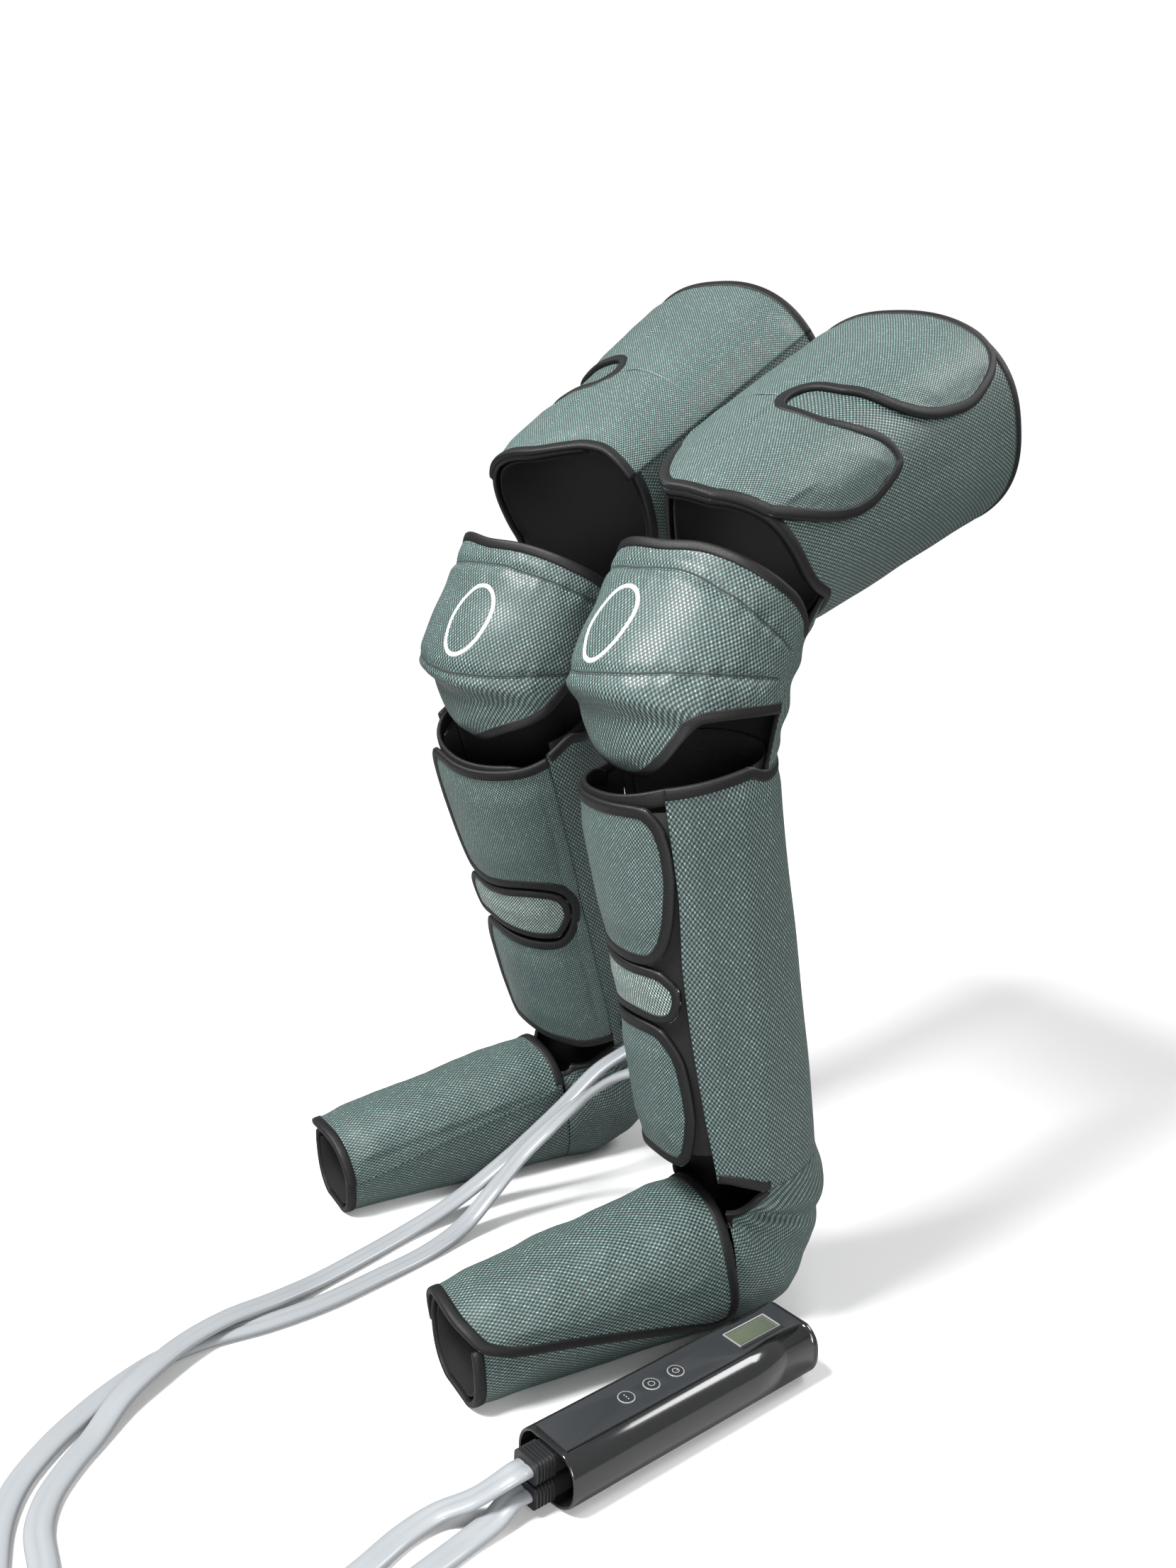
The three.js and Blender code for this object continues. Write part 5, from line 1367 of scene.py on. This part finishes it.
class WRAPS_OT_feet(LegOperator, bpy.types.Operator):
    """Makes the foot wraps, their flaps, bladders and linings"""

    bl_idname = "wraps.make_feet"
    bl_label = "Make Foot Wraps"

    def make(self, leg, sizes):
        def foot_swell(angle, share, distance):
            sole = ease(125, 155, angle) * (1 - ease(205, 235, angle))
            slow = noise.noise(Vector((angle * 0.03 + leg.side, share * 6, 5.0)))
            return (1 - sole) * 1.5 * slow * ease(4, 24, distance)

        toes = even_edge(FOOT_END_SHARE)
        wrap = Panel(leg.foot, FOOT_WRAP_START, FOOT_WRAP_END, FOOT_WRAP_REAR, toes)
        fabric_piece(leg, "foot_wrap", "leg_wraps", "mesh_fabric", [wrap], (110, 60), foot_swell)
        tape_piece(
            leg, "foot_wrap_tape", "leg_wraps", leg.foot,
            edge_points(toes, FOOT_WRAP_END, FOOT_WRAP_START))
        body = f"{leg.name}_foot_flap"
        flap = Panel(
            leg.foot, FOOT_ROOT, FOOT_FLAP_END, FOOT_FLAP_REAR, FOOT_FLAP_FRONT, FLAP, 1.4,
            ("start",))
        fabric_piece(
            leg, "foot_flap", body, "mesh_fabric", [flap], (120, 70),
            crowned(2.2, 1.6, 3.0 * leg.side))
        border = border_points(
            (FOOT_FLAP_REAR, FOOT_TAPE_START, FOOT_FLAP_END, 90),
            (FOOT_FLAP_FRONT, FOOT_FLAP_END, FOOT_ROOT, 90))
        tape_piece(leg, "foot_flap_tape", body, leg.foot, border, FLAP)
        layer_piece(
            leg, "foot_bladder", "leg_wraps", leg.foot, "bladder", "bladder", (75, 270), 0.1, 0.92,
            BLADDER)
        layer_piece(
            leg, "foot_lining", "leg_wraps", leg.foot, "lining", "lining", (65, 312), 0.04, 0.975,
            LINING)


class WRAPS_OT_heels(LegOperator, bpy.types.Operator):
    """Makes the heel panels, folded at the ankles"""

    bl_idname = "wraps.make_heels"
    bl_label = "Make Heel Panels"

    def make(self, leg, sizes):
        panel = Panel(
            leg.heel, -HEEL_EDGE, HEEL_EDGE, lambda angle: HEEL_OPENING(abs(angle)), even_edge(1.0))
        fabric_piece(
            leg, "heel", "leg_wraps", "mesh_fabric", [panel], (120, 90),
            ankle_folds(sizes.fold_depth / MM, 1.5 * leg.side), node="heel_panel")
        steps = 24
        slope = [mix(HEEL_SLOPE_START, HEEL_EDGE, i / steps) for i in range(steps)]
        run = [(angle, HEEL_OPENING(angle)) for angle in slope]
        run += [(HEEL_EDGE, mix(HEEL_SLOPE_TOP, 1.0, i / steps)) for i in range(steps + 1)]
        for name, side in (("outer", 1), ("inner", -1)):
            tape_piece(
                leg, f"heel_tape_{name}", "leg_wraps", leg.heel,
                [(side * angle, share) for angle, share in run][::side],
                width=HEEL_TAPE_WIDTH)


class WRAPS_OT_calves(LegOperator, bpy.types.Operator):
    """Makes the calf wraps, their flaps, middle straps, loop strips, bladders and linings"""

    bl_idname = "wraps.make_calves"
    bl_label = "Make Calf Wraps"

    def make(self, leg, sizes):
        def calf_swell(angle, share, distance):
            """Long soft ridges, where the air chambers end, over slow waves."""
            ridge = 2.2 * math.exp(-((angle - 86 - 8 * share) / 8) ** 2)
            hollow = -1.4 * math.exp(-((angle - 68) / 9) ** 2)
            slow = noise.noise(Vector((angle * 0.03 + 2.0 * leg.side, share * 3.5, 1.0)))
            lift = ease(5, 24, distance) * (ridge + hollow + 1.8 * slow + 1.2)
            return lift + puckers(angle, share, distance)

        def around(angle, share, offset):
            """The right flap is drawn in further than the left one and its ends stand off."""
            if leg.name == "right" and angle > DRAWN_IN_FROM:
                angle = DRAWN_IN_FROM + (angle - DRAWN_IN_FROM) * DRAWN_IN_SHARE
                beyond = math.radians(max(angle - 2, 0))
                offset += STAND_OFF_RADIUS * (1 / math.cos(beyond) - 1)
            return leg.calf(angle, share, offset)

        end = 360 + CALF_ROOT - 0.6
        wrap = Panel(
            leg.calf, CALF_BODY_EDGE, end, CALF_WRAP_LOW, CALF_WRAP_TOP, slant=CALF_WRAP_START)
        fabric_piece(leg, "calf_wrap", "leg_wraps", "mesh_fabric", [wrap], (110, 110), calf_swell)
        for name, run, options in (
            ("rim", (CALF_WRAP_TOP, end, CALF_BODY_EDGE, 100), {}),
            ("notch", (CALF_WRAP_LOW, CALF_BODY_EDGE, CALF_NOTCH_END, 24), {}),
            ("front", (CALF_FRONT_TOP, *CALF_FRONT_REACH, 60),
             {"layer": BLADDER, "width": FRONT_TAPE_WIDTH}),
        ):
            tape_piece(
                leg, f"calf_{name}_tape", "leg_wraps", leg.calf, edge_points(*run), **options)

        body = f"{leg.name}_calf_flap"
        lower = Panel(
            around, CALF_ROOT, CALF_LOWER_END, CALF_LOWER_LOW, CALF_LOWER_HIGH, WRAP, 1.5,
            ("start",), slit=("high", CALF_SLIT_END))
        upper = Panel(
            around, CALF_ROOT, CALF_FLAP_END, CALF_UPPER_LOW, CALF_FLAP_TOP, WRAP, 1.5,
            ("start",), slit=("low", CALF_SLIT_END))
        fabric_piece(
            leg, "calf_flap", body, "mesh_fabric", [lower, upper], (90, 50),
            crowned(2.6, 1.0, 1.0 + leg.side), "tab_mesh")
        border = border_points(
            (CALF_LOWER_LOW, CALF_ROOT, CALF_LOWER_END, 80),
            (CALF_LOWER_HIGH, CALF_LOWER_END, CALF_SLIT_END, 80),
            (CALF_UPPER_LOW, CALF_SLIT_END, CALF_FLAP_END, 80),
            (CALF_FLAP_TOP, CALF_FLAP_END, CALF_ROOT, 80))
        tape_piece(leg, "calf_flap_tape", body, around, border)

        body = f"{leg.name}_calf_strap"
        strap = Panel(around, STRAP_START, STRAP_END, STRAP_LOW, STRAP_HIGH, WRAP, 1.5)
        fabric_piece(
            leg, "calf_strap", body, "pale_mesh", [strap], (80, 20), crowned(1.6, 0.4, 3.0),
            "pale_mesh")
        border = border_points(
            (STRAP_LOW, STRAP_START, STRAP_END), (STRAP_HIGH, STRAP_END, STRAP_START))
        tape_piece(
            leg, "calf_strap_tape", body, around, border, closed=True, width=STRAP_TAPE_WIDTH)
        for part, finish, reach, low, high, layer in (
            ("bladder", "bladder", (75, 255), 0.08, 0.92, BLADDER),
            ("lining", "lining", (60, 270), 0.1, 1.015, LINING),
            ("loop_strip", "strip", (-15, 60), 0.12, 0.97, LOOP_STRIP),
        ):
            layer_piece(
                leg, f"calf_{part}", "leg_wraps", leg.calf, finish, part, reach, low, high, layer)


def knee_mark(leg, swell):
    """A plain embroidered oval ring on the front of the knee."""
    angle, share = KNEE_MARK_PLACES[leg.name]

    def place(u, v):
        turn = math.tau * u
        half = mix(-1.0, 1.0, v)
        across = math.cos(turn) * (KNEE_MARK_HALF_SIZES[0] + KNEE_MARK_LINE * half)
        rise = math.sin(turn) * (KNEE_MARK_HALF_SIZES[1] + KNEE_MARK_LINE * half)
        a = angle + math.degrees(across / 74)
        s = share + rise / 250
        lift = FABRIC + swell(a, s, 50.0) + 0.75 * (1 - half * half) + 0.05
        return leg.knee(a, s, lift)

    bm = bmesh.new()
    placed_grid(bm, 96, 6, place, lambda u, v: (u * 0.18, v * 0.0034))
    bmesh.ops.remove_doubles(bm, verts=bm.verts[:], dist=1e-6)
    outside = leg.knee(angle, share, FABRIC + 5) - leg.knee(angle, share, FABRIC)
    bm.faces.ensure_lookup_table()
    bm.normal_update()
    if bm.faces[0].normal.dot(outside) < 0:
        bmesh.ops.reverse_faces(bm, faces=bm.faces[:])
    piece = add_object(f"{leg.name}_knee_mark", bm, [finishes["mark"]])
    backing = piece.modifiers.new("Thickness", "SOLIDIFY")
    backing.thickness = 0.0008
    backing.offset = -1
    settle(piece, "leg_wraps")


class WRAPS_OT_knees(LegOperator, bpy.types.Operator):
    """Makes the knee cups with their seams, the heating pads and the panels behind the knees"""

    bl_idname = "wraps.make_knees"
    bl_label = "Make Knee Pieces"

    def make(self, leg, sizes):
        def back_folds(angle, share, distance):
            drift = 3 * noise.noise(Vector((angle * 0.03, share * 2, leg.side)))
            return ease(0, 18, distance) * (1.3 * math.sin(share * 22 + drift) + 1.0)

        swell = knee_swell(leg, sizes.fold_depth / MM)
        cup = Panel(leg.knee, -KNEE_EDGE, KNEE_EDGE, KNEE_HEM, KNEE_TOP)
        fabric_piece(leg, "knee_cup", "leg_wraps", "mesh_fabric", [cup], (190, 130), swell)
        tape_piece(
            leg, "knee_hem_tape", "leg_wraps", leg.knee,
            edge_points(KNEE_HEM, -KNEE_EDGE, KNEE_EDGE, 120))
        tape_piece(
            leg, "knee_top_tape", "leg_wraps", leg.knee,
            edge_points(KNEE_TOP, KNEE_EDGE, -KNEE_EDGE, 120))
        for name, seam in (("arc", KNEE_ARC_SEAM), ("level", KNEE_LEVEL_SEAM)):
            seam_piece(
                leg, f"knee_{name}_seam",
                edge_points(seam[leg.name], -KNEE_SEAM_EDGE, KNEE_SEAM_EDGE, 120),
                lambda angle, share: swell(angle, share, cup.to_edge(angle, share)))
        knee_mark(leg, swell)
        layer_piece(
            leg, "knee_heating_pad", "leg_wraps", leg.knee, "pad", "heating_pad", (-45, 45), 0.264,
            0.527, BLADDER, (40, 20))
        start = KNEE_EDGE + math.degrees(GAP / KNEE_WIDTH)
        back = Panel(leg.knee, start, 360 - start, even_edge(0.0), even_edge(1.0))
        piece = fabric_piece(
            leg, "knee_back", None, "mesh_fabric", [back], (60, 80), back_folds,
            node="knee_back_panel")
        tuple(leg.knee(180, KNEE_BEND_START, 0))
        tuple(leg.knee(180, 1.0, 0))
        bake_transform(piece)


class WRAPS_OT_thighs(LegOperator, bpy.types.Operator):
    """Makes the thigh wraps, their flaps, bladders and linings"""

    bl_idname = "wraps.make_thighs"
    bl_label = "Make Thigh Wraps"

    def make(self, leg, sizes):
        def hem(angle):
            return THIGH_HEM(angle) + leg.hem_share * THIGH_DIP(angle) * (angle < 200)

        def thigh_swell(angle, share, distance):
            free = ease(84, 100, angle)
            slow = noise.noise(Vector((angle * 0.025 + leg.side, share * 4.0, 4.0)))
            return ease(5, 24, distance) * free * (2.0 * slow + 1.2)

        def raised(curve):
            """An edge of the slit, which lies further up on the right leg."""
            rise = RIGHT_SLIT_RISE if leg.name == "right" else 0.0
            return lambda angle: curve(angle) + rise * ease(64, 15, angle)

        def flap_low(angle):
            """The hem, then a rounded corner up to the end of the lower tab."""
            if angle < THIGH_CORNER_START:
                return hem(angle)
            return mix(hem(THIGH_CORNER_START), THIGH_LOWER_LOW, THIGH_CORNER(angle))

        body = f"{leg.name}_thigh"
        end = 360 + THIGH_ROOT + 2
        rim = even_edge(1.0)
        wrap = Panel(leg.thigh, THIGH_BODY_EDGE, end, hem, rim)
        fabric_piece(leg, "thigh_wrap", body, "mesh_fabric", [wrap], (150, 90), thigh_swell)
        tape_piece(
            leg, "thigh_hem_tape", body, leg.thigh, edge_points(hem, THIGH_BODY_EDGE, end, 160))
        tape_piece(
            leg, "thigh_rim_tape", body, leg.thigh, edge_points(rim, end, THIGH_BODY_EDGE, 90))

        flap_body = f"{leg.name}_thigh_flap"
        upper_low = raised(THIGH_UPPER_LOW)
        lower_high = raised(THIGH_LOWER_HIGH)
        lower = Panel(
            leg.thigh, THIGH_ROOT, THIGH_LOWER_END, flap_low, lower_high, FLAP, 1.4, ("start",),
            slit=("high", THIGH_SLIT_END))
        upper = Panel(
            leg.thigh, THIGH_ROOT, THIGH_UPPER_END, upper_low, THIGH_FLAP_TOP, FLAP, 1.4,
            ("start",), slit=("low", THIGH_SLIT_END))
        fabric_piece(
            leg, "thigh_flap", flap_body, "mesh_fabric", [lower, upper], (110, 60),
            crowned(2.4, 1.2, 6.0 + leg.side), "tab_mesh")
        border = border_points(
            (flap_low, THIGH_ROOT, THIGH_LOWER_END, 110),
            (lower_high, THIGH_LOWER_END, THIGH_SLIT_END, 70),
            (upper_low, THIGH_SLIT_END, THIGH_UPPER_END, 70),
            (THIGH_FLAP_TOP, THIGH_UPPER_END, THIGH_ROOT, 90))
        tape_piece(leg, "thigh_flap_tape", flap_body, leg.thigh, border, FLAP)
        layer_piece(
            leg, "thigh_bladder", body, leg.thigh, "bladder", "bladder", (2, 285), 0.12, 0.92,
            BLADDER, (70, 20))
        layer_piece(
            leg, "thigh_lining", body, leg.thigh, "lining", "lining", (THIGH_BODY_EDGE, end),
            lambda angle: hem(angle) + 0.01, 0.99, LINING, (120, 30))


def section_points(inset, top_flat, count):
    """Points round the handset's section in X and Z, cut flat on top."""
    points = []
    for i in range(count):
        across, along = rounded_ring(360 * i / count, HANDSET_POWER)
        x = across * (HANDSET_HALF_WIDTH - inset)
        z = HANDSET_HEIGHT / 2 + along * (HANDSET_HEIGHT / 2 - inset)
        points.append((x, min(z, top_flat)))
    return points


def section_skin(part, stations, sides=None, count=96):
    """A gloss skin through sections. Each station is (place along, inset, top flat)."""
    rings = [
        [handset_point(x, y, z) for x, z in section_points(inset, flat, count)]
        for y, inset, flat in stations
    ]
    steps = len(rings) - 1
    bm = bmesh.new()
    placed_grid(
        bm, count, steps, lambda u, v: rings[round(v * steps)][round(u * count) % count],
        lambda u, v: (u * 0.16, v * 0.25))
    closed_up(bm, sides)
    piece = add_object(f"{part}_skin", bm, [finishes["shell"]])
    settle(piece, "handset", part)


def finished_copy(node, name, finish, bevel, body="handset"):
    """A merged copy of a rigid CAD node with its edges rounded."""
    source = bpy.data.objects[frame["nodes"][node].name]
    bm = bmesh.new()
    bm.from_mesh(source.data)
    bmesh.ops.remove_doubles(bm, verts=bm.verts[:], dist=1e-6)
    bmesh.ops.dissolve_limit(
        bm, angle_limit=math.radians(1), verts=bm.verts[:], edges=bm.edges[:])
    piece = add_object(name, bm, [finishes[finish]])
    piece.data.transform(source.matrix_world)
    round_edges(piece, bevel, angle_limit=math.radians(30), harden_normals=True)
    settle(piece, body, node)


def place_in_handset(bm, y, z=0.0):
    for vert in bm.verts:
        vert.co = handset_point(vert.co.x, y + vert.co.y, z + vert.co.z)


def display_frame():
    """The rim round the display window, coloured pale grey partly as painted highlight along its
    edges.
    """
    bm = bmesh.new()
    bmesh.ops.create_grid(bm, x_segments=1, y_segments=1, size=1.0)
    half_sizes = (WINDOW_WIDTH / 2 + 1.0, WINDOW_LENGTH / 2 + 1.0, 1)
    bmesh.ops.scale(bm, vec=half_sizes, verts=bm.verts[:])
    bmesh.ops.inset_region(bm, faces=bm.faces[:], thickness=1.2, use_boundary=True)
    inside = min(bm.faces, key=lambda face: face.calc_center_median().length)
    bmesh.ops.delete(bm, geom=[inside], context="FACES_ONLY")
    bmesh.ops.solidify(bm, geom=bm.faces[:], thickness=-0.7)
    place_in_handset(bm, WINDOW_CENTRE, PANEL_TOP)
    bmesh.ops.recalc_face_normals(bm, faces=bm.faces[:])
    piece = add_object("display_frame", bm, [finishes["frame"]], smooth=False)
    settle(piece, "handset")


class WRAPS_OT_handset(bpy.types.Operator):
    """Makes the handset's gloss shell, end cap and top panel, and finishes what it holds"""

    bl_idname = "wraps.make_handset"
    bl_label = "Make Handset"

    def execute(self, context):
        tube = HANDSET_LENGTH - CAP_LENGTH
        flat = HANDSET_TOP_FLAT
        wall = HANDSET_WALL
        inner = flat - wall
        section_skin("handset_shell", [
            (tube, wall, inner), (1.0, wall, inner), (0.3, wall - 0.3, inner + 0.3),
            (0.0, wall - 0.9, inner + 0.9), (0.0, 0.8, flat - 0.8), (0.3, 0.25, flat - 0.25),
            (1.0, 0.0, flat), *((y, 0.0, flat) for y in (60, 120, 180)), (tube, 0.0, flat),
            (tube, wall, inner),
        ])
        start = tube + GAP
        corner = []
        for k in range(7):
            turn = math.radians(15 * k)
            drop = CAP_ROUND * (1 - math.cos(turn))
            corner.append(
                (HANDSET_LENGTH - CAP_ROUND + CAP_ROUND * math.sin(turn), drop, flat - drop))
        section_skin("handset_end_cap", [
            (start, wall, inner), (start, 0.0, flat), *corner,
            (HANDSET_LENGTH, 12.0, flat - 12.0), (HANDSET_LENGTH, 22.0, flat - 20.0),
        ], 0)
        finished_copy(
            "handset_top_panel", "handset_top_panel_skin", "panel", 0.0005)
        finished_copy("display_window", "display_window_glass", "window", 0.0003)
        display_frame()
        for node, finish in (
            ("display_module", "display"), ("circuit_board", "board"), ("pump_motor", "motor"),
            ("pump_head", "black"), ("air_valves", "black"), ("socket_block", "black"),
            ("power_inlet", "black"),
        ):
            for slot in frame["nodes"][node].material_slots:
                slot.material = finishes[finish]
        return {"FINISHED"}


def button_symbol(name, y):
    """Small raised symbol on a button: dots, a ring or a ring with a bar."""
    bm = bmesh.new()
    for kind, x, dy in BUTTON_SYMBOLS[name]:
        if kind == "dot":
            made = bmesh.ops.create_circle(bm, cap_ends=True, segments=16, radius=0.55)["verts"]
        elif kind == "bar":
            made = bmesh.ops.create_grid(bm, x_segments=1, y_segments=1, size=0.5)["verts"]
            bmesh.ops.scale(bm, vec=(0.5, 2.6, 1), verts=made)
        else:
            made = bmesh.ops.create_circle(bm, cap_ends=False, segments=40, radius=2.3)["verts"]
            edges = list({edge for vert in made for edge in vert.link_edges})
            grown = bmesh.ops.extrude_edge_only(bm, edges=edges)["geom"]
            outer = [item for item in grown if isinstance(item, bmesh.types.BMVert)]
            bmesh.ops.scale(bm, vec=(1.2, 1.2, 1), verts=outer)
            made = made + outer
        bmesh.ops.translate(bm, vec=(x, dy, 0), verts=made)
    bmesh.ops.solidify(bm, geom=bm.faces[:], thickness=0.12)
    place_in_handset(bm, y, PANEL_TOP + 0.45)
    bmesh.ops.recalc_face_normals(bm, faces=bm.faces[:])
    settle(
        add_object(f"{name}_symbol", bm, [finishes["mark"]], smooth=False), name)


class WRAPS_OT_buttons(bpy.types.Operator):
    """Makes the three round buttons with their rings and plain symbols"""

    bl_idname = "wraps.make_buttons"
    bl_label = "Make Buttons"

    def execute(self, context):
        seat = HANDSET_TOP_FLAT - HANDSET_WALL - GAP
        radius = BUTTON_RADIUS
        for name, y in BUTTON_PLACES.items():
            bm = turned_solid([
                (0.0, seat - 2.0), (radius + 1.2, seat - 2.0), (radius + 1.2, seat),
                (radius, seat), (radius, PANEL_TOP), (radius - 0.15, PANEL_TOP + 0.3),
                (radius - 0.5, PANEL_TOP + 0.4), (radius - 1.0, PANEL_TOP + 0.3),
                (radius - 2.5, PANEL_TOP + 0.22), (0.0, PANEL_TOP + 0.2),
            ])
            for face in bm.faces:
                middle = face.calc_center_median()
                reach = math.hypot(middle.x, middle.y)
                if middle.z > PANEL_TOP and reach > radius - 0.9:
                    face.material_index = 1
            place_in_handset(bm, y)
            piece = add_object(f"{name}_cap", bm, [finishes["button"], finishes["ring"]])
            settle(piece, name, name)
            button_symbol(name, y)
        return {"FINISHED"}


class WRAPS_OT_fittings(bpy.types.Operator):
    """Finishes the ribbed plugs and makes the hose ports on the calves"""

    bl_idname = "wraps.make_fittings"
    bl_label = "Make Plugs and Ports"

    def execute(self, context):
        for name in PLUG_LEVELS:
            finished_copy(name, f"{name}_grip", "black", 0.0004, "leg_wraps")
        for leg in legs():
            seat, normal, _ = port_of(leg)
            bm = turned_solid([
                (0.0, GAP), (PORT_RADIUS, GAP), (PORT_RADIUS, 2.2), (PORT_RADIUS - 0.6, 2.8),
                (PORT_RADIUS - 3.0, 3.0), (PORT_RADIUS - 3.4, 5.6), (PORT_RADIUS - 4.2, 6.2),
                (0.0, 6.2),
            ])
            turn = normal.to_track_quat("Z", "Y").to_matrix()
            for vert in bm.verts:
                vert.co = seat + (turn @ vert.co) * MM
            piece = add_object(f"{leg.name}_port_boss", bm, [finishes["black"]])
            round_edges(piece, 0.0003)
            settle(piece, "leg_wraps", f"{leg.name}_hose_port")
        return {"FINISHED"}


class WRAPS_PT_sidebar(bpy.types.Panel):
    """Lists the pieces in the order in which they are made"""

    bl_idname = "WRAPS_PT_sidebar"
    bl_label = "Leg Wraps"
    bl_space_type = "VIEW_3D"
    bl_region_type = "UI"
    bl_category = "Leg Wraps"

    def draw(self, context):
        for operator in OPERATORS:
            self.layout.operator(operator.bl_idname)
        for group in (context.scene.wrap_sizes, context.scene.wrap_colours):
            for name in type(group).__annotations__:
                self.layout.prop(group, name)


OPERATORS = (
    WRAPS_OT_stage,
    WRAPS_OT_hoses,
    WRAPS_OT_feet,
    WRAPS_OT_heels,
    WRAPS_OT_calves,
    WRAPS_OT_knees,
    WRAPS_OT_thighs,
    WRAPS_OT_handset,
    WRAPS_OT_buttons,
    WRAPS_OT_fittings,
)
CLASSES = (WrapSizes, WrapColours, *OPERATORS, WRAPS_PT_sidebar)


def register():
    for item in CLASSES:
        bpy.utils.register_class(item)
    bpy.types.Scene.wrap_sizes = bpy.props.PointerProperty(type=WrapSizes)
    bpy.types.Scene.wrap_colours = bpy.props.PointerProperty(type=WrapColours)


def unregister():
    del bpy.types.Scene.wrap_colours
    del bpy.types.Scene.wrap_sizes
    for item in reversed(CLASSES):
        bpy.utils.unregister_class(item)


def main():
    register()
    for operator in OPERATORS:
        group, name = operator.bl_idname.split(".")
        getattr(getattr(bpy.ops, group), name)()


if __name__ == "__main__":
    main()
